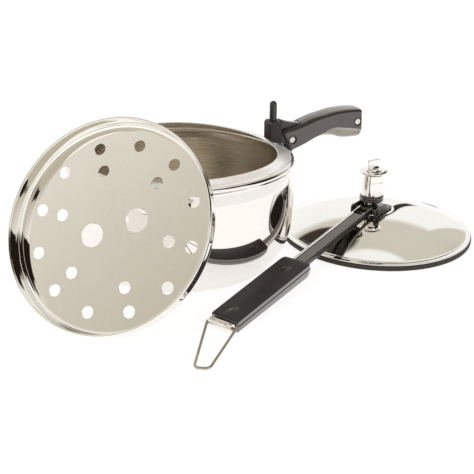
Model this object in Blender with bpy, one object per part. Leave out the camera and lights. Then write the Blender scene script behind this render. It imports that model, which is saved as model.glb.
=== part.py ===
"""A stainless steel pressure cooker with an inside-fitting lever lid, taken apart.

The pot stands at the origin. Its lid lies beside it with the lever handle out in front, and the
perforated steam plate leans on the pot's collar. All sizes are in metres, angles in degrees, +Z is up.
"""

import math

import bmesh
import bpy
import numpy as np
from mathutils import Matrix, Vector

# Clearances
FIT_GAP = 0.0003
PIN_CLEARANCE = 0.0004
SLOT_CLEARANCE = 0.0004

# Pot body
POT_RADIUS = 0.098
POT_WALL = 0.0015
POT_CORNER = 0.016
POT_SHOULDER_HEIGHT = 0.0745
NECK_INSET = 0.0034
NECK_RISE = 0.0087
COLLAR_OVERHANG = 0.0002
COLLAR_RISE = 0.0076
COLLAR_EDGE_RADIUS = 0.0034
COLLAR_WIDTH = 0.0136
MOUTH_RISE = 0.0031
MOUTH_OVAL = 0.0015
MOUTH_DIP = 0.0020

# Radii and heights of the pot's upper end, which follow from those
POT_NECK_RADIUS = POT_RADIUS - NECK_INSET
POT_NECK_HEIGHT = POT_SHOULDER_HEIGHT + NECK_RISE
COLLAR_RADIUS = POT_RADIUS + COLLAR_OVERHANG
COLLAR_HEIGHT = POT_NECK_HEIGHT + COLLAR_RISE
MOUTH_RADIUS = COLLAR_RADIUS - COLLAR_WIDTH
MOUTH_HEIGHT = COLLAR_HEIGHT + MOUTH_RISE

# Layered base under the pot
BASE_HEIGHT = 0.0052
BASE_RADIUS = 0.0805
BASE_COVER_WALL = 0.0008

# Pot handle: its direction about the pot and its moulding
HANDLE_AZIMUTH = 24.0
HANDLE_SPLIT_GAP = 0.0003
HANDLE_SCREW_RADIUS = 0.0018
HANDLE_HEAD_RADIUS = 0.0027
HANDLE_HEAD_HEIGHT = 0.0012
HANDLE_RECESS_RADIUS = 0.0040
HANDLE_RECESS_DEPTH = 0.0016
HANDLE_NUT_RADIUS = 0.0033
HANDLE_NUT_HEIGHT = 0.0024
HANDLE_NEAR_SCREW = (COLLAR_RADIUS + 0.0048, MOUTH_HEIGHT - 0.0009)
HANDLE_FAR_SCREW = (COLLAR_RADIUS + 0.0715, MOUTH_HEIGHT + 0.0089)
HANDLE_CREASE_ANGLE = 18.0

# Each handle section, with reaches beyond the collar and heights above the mouth: top reach and height,
# bottom reach, height of the side's lower crease, drop of the belly below it, half width, top rounding
HANDLE_SECTIONS = (
    (-0.0046, 0.0083, 0.0040, -0.0103, 0.0008, 0.0094, 0.0016),
    (0.0138, 0.0121, 0.0163, -0.0059, 0.0012, 0.0098, 0.0020),
    (0.0293, 0.0168, 0.0288, -0.0005, 0.0022, 0.0100, 0.0026),
    (0.0468, 0.0204, 0.0463, 0.0057, 0.0086, 0.0104, 0.0032),
    (0.0598, 0.0213, 0.0588, 0.0046, 0.0110, 0.0108, 0.0036),
    (0.0698, 0.0210, 0.0688, 0.0029, 0.0102, 0.0108, 0.0036),
    (0.0756, 0.0203, 0.0768, 0.0012, 0.0085, 0.0104, 0.0030),
)

# Steel bracket that carries the handle, and the post that the lever bears against
BRACKET_THICKNESS = 0.0080
BRACKET_FLANGE_THICKNESS = 0.0020
BRACKET_FLANGE_WIDTH = 0.0300
BRACKET_FLANGE_HEIGHT = 0.0215
BRACKET_FLANGE_TOP = POT_SHOULDER_HEIGHT - 0.0010
BRACKET_FLANGE_LOW = BRACKET_FLANGE_TOP - BRACKET_FLANGE_HEIGHT
BRACKET_CREST_RISE = 0.0173
TANG_HALF_HEIGHT = 0.0042
TANG_END_MARGIN = 0.0032
RIM_BLOCK_LENGTH = 0.0098
RIM_BLOCK_HALF_WIDTH = 0.0070
RIM_BLOCK_OVERHANG = 0.0008
RIM_BLOCK_TOP = MOUTH_HEIGHT + 0.0166
RIM_BLOCK_CHAMFER = 0.0018
POST_RADIUS = 0.0033
POST_TOP = RIM_BLOCK_TOP + 0.0177
POST_DEPTH = 0.0090

# Hollow line on top of the bracket's web: reach beyond the collar and height above the mouth
BRACKET_CRADLE = (
    (0.0008, 0.0153),
    (0.0053, 0.0139),
    (0.0093, 0.0132),
    (0.0148, 0.0123),
    (0.0198, 0.0123),
)

# Lid: how it lies beside the pot, and its dome
LEVER_POT_GAP = 0.00443
LID_TUCK = 0.00175
LID_RADIUS = 0.0874
LID_WALL = 0.0013
LID_OVAL = 0.0012
LID_TOP = 0.0236
LID_FLAT_RADIUS = 0.0170
LID_RIM_HEIGHT = 0.0058
LID_RIM_WIDTH = 0.0030
GASKET_OVERHANG = 0.0009
GASKET_WIDTH = 0.0085
GASKET_LIP = 0.0008

# Hub on the lid: yoke, vent tube and its nut
LEVER_AZIMUTH = -127.0
YOKE_THICKNESS = 0.0015
YOKE_HALF_WIDTH = 0.0125
YOKE_BACK = 0.0120
YOKE_BASE_FRONT = 0.0135
PIVOT_REACH = 0.0200
PIVOT_RISE = 0.0036
PIVOT_RADIUS = 0.0014
PIVOT_HEAD_RADIUS = 0.0025
PIVOT_HEAD_HEIGHT = 0.0011
YOKE_EAR_RADIUS = 0.0042
YOKE_EAR_DROP = 0.0012
VENT_REACH = 0.0028
VENT_SIDE = -0.0037
TUBE_THREAD_RADIUS = 0.0040
TUBE_FLANGE_RADIUS = 0.0070
TUBE_FLANGE_HEIGHT = 0.0024
TUBE_STEM_RADIUS = 0.0047
TUBE_NOZZLE_RADIUS = 0.0026
TUBE_NOZZLE_HEIGHT = 0.0160
TUBE_BORE_RADIUS = 0.0012
TUBE_THREAD_LENGTH = 0.0088
TUBE_NUT_RADIUS = 0.0080
TUBE_NUT_HEIGHT = 0.0042

# Safety valve, under the lever bar
VALVE_REACH = 0.0430
VALVE_HEAD_RADIUS = 0.0040
VALVE_HEAD_HEIGHT = 0.0034
VALVE_STEM_RADIUS = 0.0028
VALVE_BORE_RADIUS = 0.0014
VALVE_STEM_LENGTH = 0.0070
VALVE_NUT_RADIUS = 0.0056
VALVE_NUT_HEIGHT = 0.0032

# Vent weight on the tube
WEIGHT_SEAT_HEIGHT = 0.0287
WEIGHT_NOSE_RADIUS = 0.0060
WEIGHT_NOSE_HEIGHT = 0.0038
WEIGHT_RING_RADIUS = 0.0112
WEIGHT_RING_HEIGHT = 0.0048
WEIGHT_RING_WALL = 0.0024
WEIGHT_BODY_RADIUS = 0.0100
WEIGHT_BODY_HEIGHT = 0.0224
WEIGHT_FLANGE_RADIUS = 0.0130
WEIGHT_FLANGE_HEIGHT = 0.0014
WEIGHT_BOSS_RADIUS = 0.0072
WEIGHT_BOSS_HEIGHT = 0.0010
WEIGHT_BORE_CLEARANCE = 0.0005
TAB_WIDTH = 0.0142
TAB_HEIGHT = 0.0092
TAB_THICKNESS = 0.0022
TAB_TURN = -21.0

# Lever bar: a pressed channel, open below
BAR_HALF_WIDTH = 0.0066
BAR_SHEET = 0.0015
BAR_TOP_RISE = 0.0023
BAR_DEPTH = 0.0053
BAR_LENGTH = 0.1860
BAR_SKIN_START = 0.0160

# Grip: two mouldings clamped over the bar by two screws
GRIP_START = 0.1140
GRIP_LENGTH = 0.0985
GRIP_HALF_WIDTH_NEAR = 0.0138
GRIP_HALF_WIDTH_FAR = 0.0130
GRIP_COVER = 0.0024
GRIP_SEAM_DROP = 0.0022
GRIP_DEPTH_NEAR = 0.0076
GRIP_DEPTH_FAR = 0.0060
GRIP_EDGE_RADIUS = 0.0016
GRIP_SCREW_NEAR = 0.0180
GRIP_SCREW_FAR = 0.0100
GRIP_SCREW_RADIUS = 0.0017
GRIP_HEAD_RADIUS = 0.0041
GRIP_HEAD_HEIGHT = 0.0008
GRIP_RECESS_RADIUS = 0.0047
GRIP_RECESS_DEPTH = 0.0012
GRIP_NUT_RADIUS = 0.0036
GRIP_NUT_HEIGHT = 0.0022

# Rolled end clip and the wire locking loop
CLIP_HALF_WIDTH = 0.0094
CLIP_EYE_RADIUS = 0.0029
CLIP_TONGUE_LENGTH = 0.0165
CLIP_TONGUE_HALF_WIDTH = 0.0045
CLIP_TONGUE_THICKNESS = 0.0012
CLIP_STANDOFF = 0.0040
LOOP_WIRE_RADIUS = 0.0011
LOOP_END_GAP = 0.0030
LOOP_LEFT_REACH = 0.0520
LOOP_LEFT_SWAY = 0.0165
LOOP_RIGHT_REACH = 0.0470
LOOP_RIGHT_SWAY = 0.0262
LOOP_LEFT_ROOT = 0.0131
LOOP_RIGHT_ROOT = 0.0130
LOOP_BEND_RADIUS = 0.0040
LOOP_ROOT_BEND_RADIUS = 0.0018

# Steam plate: its dish, its holes and how it leans
PLATE_WALL = 0.0008
PLATE_RADIUS = 0.0832
PLATE_HEIGHT = 0.0142
PLATE_FLAT_RADIUS = 0.0775
PLATE_BEAD = 0.0010
PLATE_HOLE_RADIUS = 0.0047
PLATE_OUTER_RING = 0.0655
PLATE_OUTER_HOLES = 12
PLATE_INNER_RING = 0.0469
PLATE_INNER_HOLES = 6
PLATE_FINGER_RING = 0.0188
PLATE_FINGER_RADIUS = 0.0091
PLATE_AZIMUTH = -113.0
PLATE_PLACE_AZIMUTH = -112.5
PLATE_LEAN = 34.55
PLATE_ROLL = 116.4

# How finely round shapes are cut
POT_STEPS = 48
LID_STEPS = 48
RING_STEPS = 40
SMALL_STEPS = 20


def clear_scene():
    """Remove every object that the scene starts with."""
    for obj in list(bpy.data.objects):
        bpy.data.objects.remove(obj, do_unlink=True)


def material(name, color, roughness, metallic):
    """A Principled material with the given colour, roughness and metallic value."""
    mat = bpy.data.materials.new(name)
    mat.use_nodes = True
    shader = mat.node_tree.nodes["Principled BSDF"]
    shader.inputs["Base Color"].default_value = (*color, 1.0)
    shader.inputs["Roughness"].default_value = roughness
    shader.inputs["Metallic"].default_value = metallic
    return mat


def finish_object(name, bm, mat, matrix=None):
    """Turn a bmesh into a named object with its material, placed by a matrix."""
    bmesh.ops.recalc_face_normals(bm, faces=bm.faces)
    mesh = bpy.data.meshes.new(name)
    bm.to_mesh(mesh)
    bm.free()
    mesh.materials.append(mat)
    mesh.shade_smooth()
    mesh.set_sharp_from_angle(angle=math.radians(35))
    obj = bpy.data.objects.new(name, mesh)
    bpy.context.scene.collection.objects.link(obj)
    if matrix is not None:
        obj.matrix_world = matrix
    return obj


def turned_bmesh(profile, steps, ring=False):
    """Spin a profile of (radius, height) points about Z. A ring profile closes on itself."""
    bm = bmesh.new()
    verts = [bm.verts.new((radius, 0.0, height)) for radius, height in profile]
    edges = [bm.edges.new(pair) for pair in zip(verts, verts[1:])]
    if ring:
        edges.append(bm.edges.new((verts[-1], verts[0])))
    bmesh.ops.spin(
        bm,
        geom=verts + edges,
        cent=(0, 0, 0),
        axis=(0, 0, 1),
        angle=math.tau,
        steps=steps,
    )
    bmesh.ops.remove_doubles(bm, verts=bm.verts, dist=2e-6)
    flat = []
    for vert in bm.verts:
        around = [other.co.z for face in vert.link_faces for other in face.verts]
        if math.hypot(vert.co.x, vert.co.y) < 1e-7 and max(around) - min(around) < 1e-7:
            flat.append(vert)
    bmesh.ops.dissolve_verts(bm, verts=flat)
    return bm


def arc(center, radius, start, end, count):
    """Points on a circle of the given centre, from one angle to another, ends included."""
    angles = np.radians(np.linspace(start, end, count))
    return [(center[0] + radius * math.cos(a), center[1] + radius * math.sin(a)) for a in angles]


def ease(start, end, count):
    """Points on an S-curve between two (radius, height) points, ends left out."""
    steps = np.linspace(0.0, 1.0, count + 2)[1:-1]
    blend = [(1 - math.cos(math.pi * s)) / 2 for s in steps]
    return [
        (start[0] + (end[0] - start[0]) * b, start[1] + (end[1] - start[1]) * s)
        for b, s in zip(blend, steps)
    ]


def thickened(path, wall):
    """Close an open path into the section of a sheet, on the path's left where the wall is positive."""
    points = np.array(path)
    step = np.diff(points, axis=0)
    step /= np.linalg.norm(step, axis=1)[:, None]
    normal = np.stack([-step[:, 1], step[:, 0]], axis=1)
    corner = np.vstack([normal[:1], normal[:-1] + normal[1:], normal[-1:]])
    corner /= np.linalg.norm(corner, axis=1)[:, None]
    stretch = np.ones(len(points))
    stretch[1:-1] = 1 / np.sum(corner[1:-1] * normal[1:], axis=1)
    inner = points + corner * (wall * stretch)[:, None]
    inner[:, 0] = np.maximum(inner[:, 0], 0.0)
    return [tuple(p) for p in points] + [tuple(p) for p in inner[::-1]]


def prism_bmesh(outline, low, high):
    """Extrude a closed (x, y) outline from one height to another."""
    bm = bmesh.new()
    face = bm.faces.new([bm.verts.new((x, y, low)) for x, y in outline])
    grown = bmesh.ops.extrude_face_region(bm, geom=[face])
    moved = [item for item in grown["geom"] if isinstance(item, bmesh.types.BMVert)]
    bmesh.ops.translate(bm, verts=moved, vec=(0, 0, high - low))
    return bm


def upright(bm):
    """Stand an (x, y) prism up, so that its outline lies in X and Z and its thickness along Y."""
    bmesh.ops.rotate(bm, verts=bm.verts, cent=(0, 0, 0), matrix=Matrix.Rotation(math.radians(90), 3, "X"))
    return bm


def lofted_bmesh(sections):
    """Join closed sections of equally many points into one skin, with flat ends."""
    bm = bmesh.new()
    rows = [[bm.verts.new(point) for point in section] for section in sections]
    count = len(rows[0])
    for near, far in zip(rows, rows[1:]):
        for i in range(count):
            j = (i + 1) % count
            bm.faces.new((near[i], near[j], far[j], far[i]))
    bm.faces.new(rows[0])
    bm.faces.new(rows[-1])
    return bm


def hexagon(radius):
    """The corners of a hexagon with the given radius across its flats' centres."""
    corner = radius / math.cos(math.pi / 6)
    return [(corner * math.cos(a), corner * math.sin(a)) for a in np.arange(6) * math.pi / 3]


def rounded_polygon(corners, radii, count=4):
    """Round each corner of a polygon by an arc of its own radius."""
    points = []
    total = len(corners)
    for i, radius in enumerate(radii):
        here = Vector(corners[i])
        back = (Vector(corners[i - 1]) - here).normalized()
        ahead = (Vector(corners[(i + 1) % total]) - here).normalized()
        if radius <= 0:
            points.append(tuple(here))
            continue
        half = back.angle(ahead) / 2
        reach = radius / math.tan(half)
        center = here + (back + ahead).normalized() * (radius / math.sin(half))
        first = here + back * reach - center
        last = here + ahead * reach - center
        turn = math.atan2(first.x * last.y - first.y * last.x, first.dot(last))
        for k in range(count + 1):
            a = turn * k / count
            points.append(
                (
                    center.x + first.x * math.cos(a) - first.y * math.sin(a),
                    center.y + first.x * math.sin(a) + first.y * math.cos(a),
                )
            )
    return points


def cut(target, tool_bm, matrix=None, operation="DIFFERENCE"):
    """Apply a Boolean of a tool mesh to an object, then drop the tool."""
    tool = finish_object("tool", tool_bm, target.data.materials[0], matrix)
    tool.hide_render = True
    tool.display_type = "WIRE"
    modifier = target.modifiers.new("shape", "BOOLEAN")
    modifier.operation = operation
    modifier.solver = "EXACT"
    modifier.object = tool
    bpy.context.view_layer.update()
    graph = bpy.context.evaluated_depsgraph_get()
    shaped = bpy.data.meshes.new_from_object(target.evaluated_get(graph))
    target.modifiers.clear()
    old = target.data
    target.data = shaped
    shaped.name = target.name
    bpy.data.meshes.remove(old)
    bpy.data.objects.remove(tool, do_unlink=True)


def rod_bmesh(radius, low, high, steps=SMALL_STEPS):
    """A plain round rod along Z."""
    return turned_bmesh([(0, low), (radius, low), (radius, high), (0, high)], steps)


def cross_matrix(reach, height):
    """A frame with its Z along -Y, at a reach and a height."""
    return Matrix.Translation((reach, 0, height)) @ Matrix.Rotation(math.radians(90), 4, "X")


def build_in(frame, builder, *materials):
    """Run a builder at the origin, then move all that it made into its frame."""
    before = set(bpy.data.objects)
    builder(*materials)
    for obj in set(bpy.data.objects) - before:
        obj.matrix_basis = frame @ obj.matrix_basis


# Shape of the pot's mouth


def rim_drop(angle):
    """How far the rim lies below its mean height at an angle about the pot: lowest at the handle."""
    return MOUTH_DIP * math.cos(2 * (angle - math.radians(HANDLE_AZIMUTH)))


def shape_mouth(bm):
    """Dip the collar at the handle and make the mouth oval, long across the handle."""
    for vert in bm.verts:
        radius = math.hypot(vert.co.x, vert.co.y)
        if vert.co.z < POT_SHOULDER_HEIGHT or radius < 1e-6:
            continue
        angle = math.atan2(vert.co.y, vert.co.x)
        share = min((vert.co.z - POT_SHOULDER_HEIGHT) / (POT_NECK_HEIGHT - POT_SHOULDER_HEIGHT), 1.0)
        inner = POT_NECK_RADIUS - POT_WALL
        inward = max((inner - radius) / (inner - MOUTH_RADIUS), 0.0)
        wave = math.cos(2 * (angle - math.radians(HANDLE_AZIMUTH)))
        scale = 1 - MOUTH_OVAL * wave * min(inward, 1.0) / radius
        vert.co = Vector((vert.co.x * scale, vert.co.y * scale, vert.co.z - rim_drop(angle) * share))


def pot_path():
    """The pot's outer outline from the middle of its bottom to the mouth's edge."""
    corner = (POT_RADIUS - POT_CORNER, BASE_HEIGHT + POT_CORNER)
    collar = (COLLAR_RADIUS - COLLAR_EDGE_RADIUS, COLLAR_HEIGHT - COLLAR_EDGE_RADIUS)
    path = [(0.0, BASE_HEIGHT)]
    path += arc(corner, POT_CORNER, -90, 0, 5)
    shoulder = (POT_RADIUS, POT_SHOULDER_HEIGHT)
    neck = (POT_NECK_RADIUS, POT_NECK_HEIGHT)
    path += [shoulder] + ease(shoulder, neck, 1) + [neck]
    path += arc(collar, COLLAR_EDGE_RADIUS, 0, 75, 3)
    path.append((MOUTH_RADIUS, MOUTH_HEIGHT))
    return path


def build_pot(steel, satin, aluminium):
    """The pot's shell and the layered base pressed on under it."""
    shell = turned_bmesh(thickened(pot_path(), POT_WALL), POT_STEPS)
    shape_mouth(shell)
    finish_object("pot_shell", shell, steel)
    inner = BASE_RADIUS - BASE_COVER_WALL - FIT_GAP
    core_low = BASE_COVER_WALL + FIT_GAP
    core_high = BASE_HEIGHT - FIT_GAP
    core = turned_bmesh([(0, core_low), (inner, core_low), (inner, core_high), (0, core_high)], RING_STEPS)
    finish_object("base_core", core, aluminium)
    bend = (BASE_RADIUS - 2 * BASE_COVER_WALL, 2 * BASE_COVER_WALL)
    path = [(0.0, 0.0)] + arc(bend, 2 * BASE_COVER_WALL, -90, 0, 4) + [(BASE_RADIUS, core_high)]
    finish_object("base_cover", turned_bmesh(thickened(path, BASE_COVER_WALL), RING_STEPS), satin)


# Pot handle


def handle_frame():
    """The handle's frame: X runs out from the pot's axis, Z is up."""
    return Matrix.Rotation(math.radians(HANDLE_AZIMUTH), 4, "Z")


def handle_section(station):
    """The outline of one handle half, from the split's top round the side and the belly to the keel."""
    top_reach, top, low_reach, crease, drop, half_width, top_round = station
    side = HANDLE_SPLIT_GAP / 2
    outer = [(side, top), (half_width - top_round, top)]
    outer += arc((half_width - top_round, top - top_round), top_round, 60, 0, 3)
    start = math.radians(HANDLE_CREASE_ANGLE)
    for turn in np.linspace(start, math.pi / 2, 5):
        fall = (math.sin(turn) - math.sin(start)) / (1 - math.sin(start))
        sideways = max(half_width * math.cos(turn) / math.cos(start), side)
        outer.append((sideways, crease - drop * fall))
    points = []
    for sideways, height in outer:
        share = (top - height) / (top - crease + drop)
        points.append((top_reach + (low_reach - top_reach) * share, sideways, height))
    return points


def handle_table():
    """The given handle sections, with reaches from the pot's axis and heights from the floor."""
    table = np.array(HANDLE_SECTIONS)
    table[:, (0, 2)] += COLLAR_RADIUS
    table[:, (1, 3)] += MOUTH_HEIGHT
    return table


def blended_stations(count):
    """Handle sections read from a smooth curve through the given ones."""
    table = handle_table()
    knots = np.arange(len(table))
    slopes = np.gradient(table, axis=0)
    stations = []
    for t in np.linspace(0, len(table) - 1, count):
        i = min(int(t), len(table) - 2)
        s = t - knots[i]
        stations.append(
            table[i] * (2 * s**3 - 3 * s**2 + 1)
            + slopes[i] * (s**3 - 2 * s**2 + s)
            + table[i + 1] * (3 * s**2 - 2 * s**3)
            + slopes[i + 1] * (s**3 - s**2)
        )
    return stations


def tang_line():
    """The middle line of the bracket's tang, from the near screw to past the far screw."""
    near = HANDLE_NEAR_SCREW
    far = HANDLE_FAR_SCREW
    middle = ((near[0] + far[0]) / 2, (near[1] + far[1]) / 2 + TANG_HALF_HEIGHT)
    return near, middle, far


def over_collar(reach):
    """The height just clear of the collar's sloping top, at a reach along the handle."""
    turn = math.radians(75)
    edge_reach = COLLAR_RADIUS - COLLAR_EDGE_RADIUS * (1 - math.cos(turn))
    edge_height = COLLAR_HEIGHT - COLLAR_EDGE_RADIUS * (1 - math.sin(turn))
    mouth_reach = MOUTH_RADIUS - MOUTH_OVAL
    slope = (edge_height - MOUTH_HEIGHT) / (edge_reach - mouth_reach)
    drop = rim_drop(math.radians(HANDLE_AZIMUTH))
    return MOUTH_HEIGHT - drop + slope * (reach - mouth_reach) + 2 * FIT_GAP


def bracket_outline(extra):
    """The bracket's web in reach and height, grown all round by a margin inside the handle."""
    near, middle, far = tang_line()
    half = TANG_HALF_HEIGHT + extra
    wall = COLLAR_RADIUS + 3 * FIT_GAP
    nose = MOUTH_RADIUS + RIM_BLOCK_LENGTH - RIM_BLOCK_OVERHANG + FIT_GAP
    cradle = [(COLLAR_RADIUS + reach, MOUTH_HEIGHT + rise + extra) for reach, rise in BRACKET_CRADLE]
    return [
        (wall - extra, BRACKET_FLANGE_LOW + 2 * BRACKET_FLANGE_THICKNESS),
        (wall - extra, over_collar(wall) - extra),
        (nose - extra, over_collar(nose) - extra),
        (nose - extra, MOUTH_HEIGHT + BRACKET_CREST_RISE + extra),
        *cradle,
        (middle[0], middle[1] + half),
        (far[0] + TANG_END_MARGIN + extra, far[1] + half),
        (far[0] + TANG_END_MARGIN + extra, far[1] - half),
        (middle[0], middle[1] - half),
        (near[0] + 2 * TANG_HALF_HEIGHT, near[1] - half),
        (wall + BRACKET_FLANGE_THICKNESS + extra, POT_SHOULDER_HEIGHT),
        (wall + BRACKET_FLANGE_THICKNESS + extra, BRACKET_FLANGE_LOW + 2 * BRACKET_FLANGE_THICKNESS),
    ]


def web_bmesh(extra_outline, extra_thickness):
    """The bracket's upright web, or a slot for it when grown by the two margins."""
    half = BRACKET_THICKNESS / 2 + extra_thickness
    return upright(prism_bmesh(bracket_outline(extra_outline), -half, half))


def build_bracket(black_steel):
    """The bracket: a flange welded round the pot's wall and a web that carries handle and post."""
    bracket = finish_object("handle_bracket", web_bmesh(0.0, 0.0), black_steel)
    spread = math.asin(BRACKET_FLANGE_WIDTH / 2 / POT_RADIUS)
    inside = POT_RADIUS + FIT_GAP
    outside = COLLAR_RADIUS + 3 * FIT_GAP + BRACKET_FLANGE_THICKNESS
    span = math.degrees(spread)
    outline = arc((0, 0), inside, -span, span, 9) + arc((0, 0), outside, span, -span, 9)
    cut(bracket, prism_bmesh(outline, BRACKET_FLANGE_LOW, BRACKET_FLANGE_TOP), operation="UNION")
    for reach, height in (HANDLE_NEAR_SCREW, HANDLE_FAR_SCREW):
        radius = HANDLE_SCREW_RADIUS + PIN_CLEARANCE
        hole = rod_bmesh(radius, -BRACKET_THICKNESS, BRACKET_THICKNESS, 12)
        cut(bracket, hole, cross_matrix(reach, height))


def build_post(black_steel, bakelite):
    """The block on the rim and the round-topped post that keeps the lever in line."""
    inner = MOUTH_RADIUS - MOUTH_OVAL - RIM_BLOCK_OVERHANG
    outer = inner + RIM_BLOCK_LENGTH + MOUTH_OVAL - FIT_GAP
    width = RIM_BLOCK_HALF_WIDTH
    corners = [(inner, -width), (outer, -width), (outer, width), (inner, width)]
    shape = rounded_polygon(corners, [0.0025, 0.0010, 0.0010, 0.0025], 3)
    blank = prism_bmesh(shape, COLLAR_HEIGHT - BASE_HEIGHT, RIM_BLOCK_TOP)
    block = finish_object("rim_block", blank, bakelite)
    bevel = RIM_BLOCK_CHAMFER
    seat = over_collar(inner + bevel)
    side = [
        (inner, seat + bevel),
        (inner + bevel, seat),
        (2 * outer - inner, over_collar(2 * outer - inner)),
        (2 * outer - inner, RIM_BLOCK_TOP),
        (inner + bevel, RIM_BLOCK_TOP),
        (inner, RIM_BLOCK_TOP - bevel),
    ]
    cut(block, upright(prism_bmesh(side, -2 * width, 2 * width)), operation="INTERSECT")
    middle = (inner + outer) / 2
    place = Matrix.Translation((middle, 0, 0))
    low = RIM_BLOCK_TOP - POST_DEPTH
    cut(block, rod_bmesh(POST_RADIUS + FIT_GAP, low - FIT_GAP, POST_TOP), place)
    dome = arc((0, POST_TOP - POST_RADIUS), POST_RADIUS, 0, 90, 5)
    post = turned_bmesh([(0, low), (POST_RADIUS, low)] + dome, SMALL_STEPS)
    finish_object("fulcrum_post", post, black_steel, place)


def build_handle(bakelite, black_steel, zinc):
    """Both handle halves, their bracket, the post and the two cross screws with nuts."""
    build_bracket(black_steel)
    build_post(black_steel, bakelite)
    stations = blended_stations(11)
    widest = max(section[5] for section in HANDLE_SECTIONS)
    for name, side in (("handle_right_half", -1), ("handle_left_half", 1)):
        sections = [[(x, side * y, z) for x, y, z in handle_section(s)] for s in stations]
        half = finish_object(name, lofted_bmesh(sections), bakelite)
        cut(half, web_bmesh(SLOT_CLEARANCE, FIT_GAP))
        for reach, height in (HANDLE_NEAR_SCREW, HANDLE_FAR_SCREW):
            hole = rod_bmesh(HANDLE_SCREW_RADIUS + PIN_CLEARANCE, -2 * widest, 2 * widest, 12)
            cut(half, hole, cross_matrix(reach, height))
    for name, spot in (("inner", HANDLE_NEAR_SCREW), ("outer", HANDLE_FAR_SCREW)):
        build_cross_screw(name, spot, bakelite, zinc)


def half_width_at(reach):
    """The handle's half width at a reach, read from its sections."""
    table = handle_table()
    return float(np.interp(reach, (table[:, 0] + table[:, 2]) / 2, table[:, 5]))


def build_cross_screw(name, spot, bakelite, zinc):
    """One screw across the handle, with its head and nut sunk in the two halves."""
    width = half_width_at(spot[0])
    place = cross_matrix(*spot)
    floor = width - HANDLE_RECESS_DEPTH
    right = bpy.data.objects["handle_right_half"]
    left = bpy.data.objects["handle_left_half"]
    cut(right, rod_bmesh(HANDLE_RECESS_RADIUS, floor, 2 * width), place)
    nut_floor = width - HANDLE_NUT_HEIGHT - 2 * FIT_GAP
    cut(left, prism_bmesh(hexagon(HANDLE_NUT_RADIUS + SLOT_CLEARANCE), -2 * width, -nut_floor), place)
    head = floor + FIT_GAP
    shank_end = -(nut_floor + FIT_GAP + HANDLE_NUT_HEIGHT)
    rim = HANDLE_HEAD_RADIUS
    profile = [
        (0, shank_end),
        (HANDLE_SCREW_RADIUS, shank_end),
        (HANDLE_SCREW_RADIUS, head),
        (rim, head),
        (rim, head + HANDLE_HEAD_HEIGHT * 0.6),
        (rim * 0.6, head + HANDLE_HEAD_HEIGHT),
        (0, head + HANDLE_HEAD_HEIGHT),
    ]
    screw = finish_object("handle_screw_" + name, turned_bmesh(profile, 16), zinc, place)
    reach = rim * 1.2
    half = rim * 0.16
    mouth = [(-reach, -half), (reach, -half), (reach, half), (-reach, half)]
    slot = prism_bmesh(mouth, head + HANDLE_HEAD_HEIGHT * 0.5, head + 2 * HANDLE_HEAD_HEIGHT)
    cut(screw, slot, place)
    low = shank_end + FIT_GAP / 2
    shape = prism_bmesh(hexagon(HANDLE_NUT_RADIUS), low, low + HANDLE_NUT_HEIGHT - FIT_GAP)
    nut = finish_object("handle_nut_" + name, shape, zinc, place)
    cut(nut, rod_bmesh(HANDLE_SCREW_RADIUS + FIT_GAP, low - width, low + width, 12), place)


# Lid


def lid_frame():
    """The lid's frame: its origin on the floor under the dome's middle, X along the lever.

    The lever's grip clears the pot by a gap, and the lid's rim tucks under the pot's rounded corner.
    """
    turn = Matrix.Rotation(math.radians(LEVER_AZIMUTH), 4, "Z")
    across = POT_RADIUS + GRIP_HALF_WIDTH_NEAR + LEVER_POT_GAP
    back = math.sqrt((POT_RADIUS + LID_RADIUS - LID_TUCK) ** 2 - across**2)
    return turn @ Matrix.Translation((-back, across, 0))


def vent_place():
    """Where the vent tube stands on the lid, in the lid's frame."""
    return Matrix.Translation((VENT_REACH, VENT_SIDE, 0))


def dome_height(radius):
    """The dome's outer height at a radius: flat in the middle, then a parabola down to the rim."""
    span = LID_RADIUS - LID_RIM_WIDTH - LID_FLAT_RADIUS
    run = max(radius - LID_FLAT_RADIUS, 0.0) / span
    return LID_TOP - (LID_TOP - LID_RIM_HEIGHT - LID_WALL / 2) * (0.22 * run + 0.78 * run**2)


def make_oval(bm):
    """Draw the lid in along the lever and out across it."""
    for vert in bm.verts:
        radius = math.hypot(vert.co.x, vert.co.y)
        if radius > LID_FLAT_RADIUS:
            share = (radius - LID_FLAT_RADIUS) / (LID_RADIUS - LID_FLAT_RADIUS)
            scale = 1 - LID_OVAL * share * math.cos(2 * math.atan2(vert.co.y, vert.co.x)) / radius
            vert.co = Vector((vert.co.x * scale, vert.co.y * scale, vert.co.z))


def build_lid(steel, rubber):
    """The domed lid with its flat flange, and the rubber ring under the flange."""
    radii = np.linspace(LID_FLAT_RADIUS, LID_RADIUS - LID_RIM_WIDTH, 7)
    path = [(0.0, LID_TOP)] + [(r, dome_height(r)) for r in radii] + [(LID_RADIUS, LID_RIM_HEIGHT)]
    shell = turned_bmesh(thickened(path, -LID_WALL), LID_STEPS)
    make_oval(shell)
    lid = finish_object("lid_shell", shell, steel)
    cut(lid, rod_bmesh(TUBE_THREAD_RADIUS + FIT_GAP, 0, 2 * LID_TOP), vent_place())
    cut(lid, rod_bmesh(VALVE_STEM_RADIUS + FIT_GAP, -0.01, 0.01, 16), valve_frame())
    outer = LID_RADIUS + GASKET_OVERHANG
    top = LID_RIM_HEIGHT - LID_WALL - FIT_GAP
    inner = outer - GASKET_WIDTH
    section = [
        (inner, GASKET_LIP),
        (inner + GASKET_LIP, 0.0),
        (outer - GASKET_LIP, 0.0),
        (outer, GASKET_LIP),
        (outer, top - GASKET_LIP / 2),
        (outer - GASKET_LIP / 2, top),
        (inner + 2 * GASKET_LIP, top),
        (inner, top - GASKET_LIP),
    ]
    ring = turned_bmesh(section, LID_STEPS, ring=True)
    make_oval(ring)
    finish_object("gasket", ring, rubber)


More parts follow.
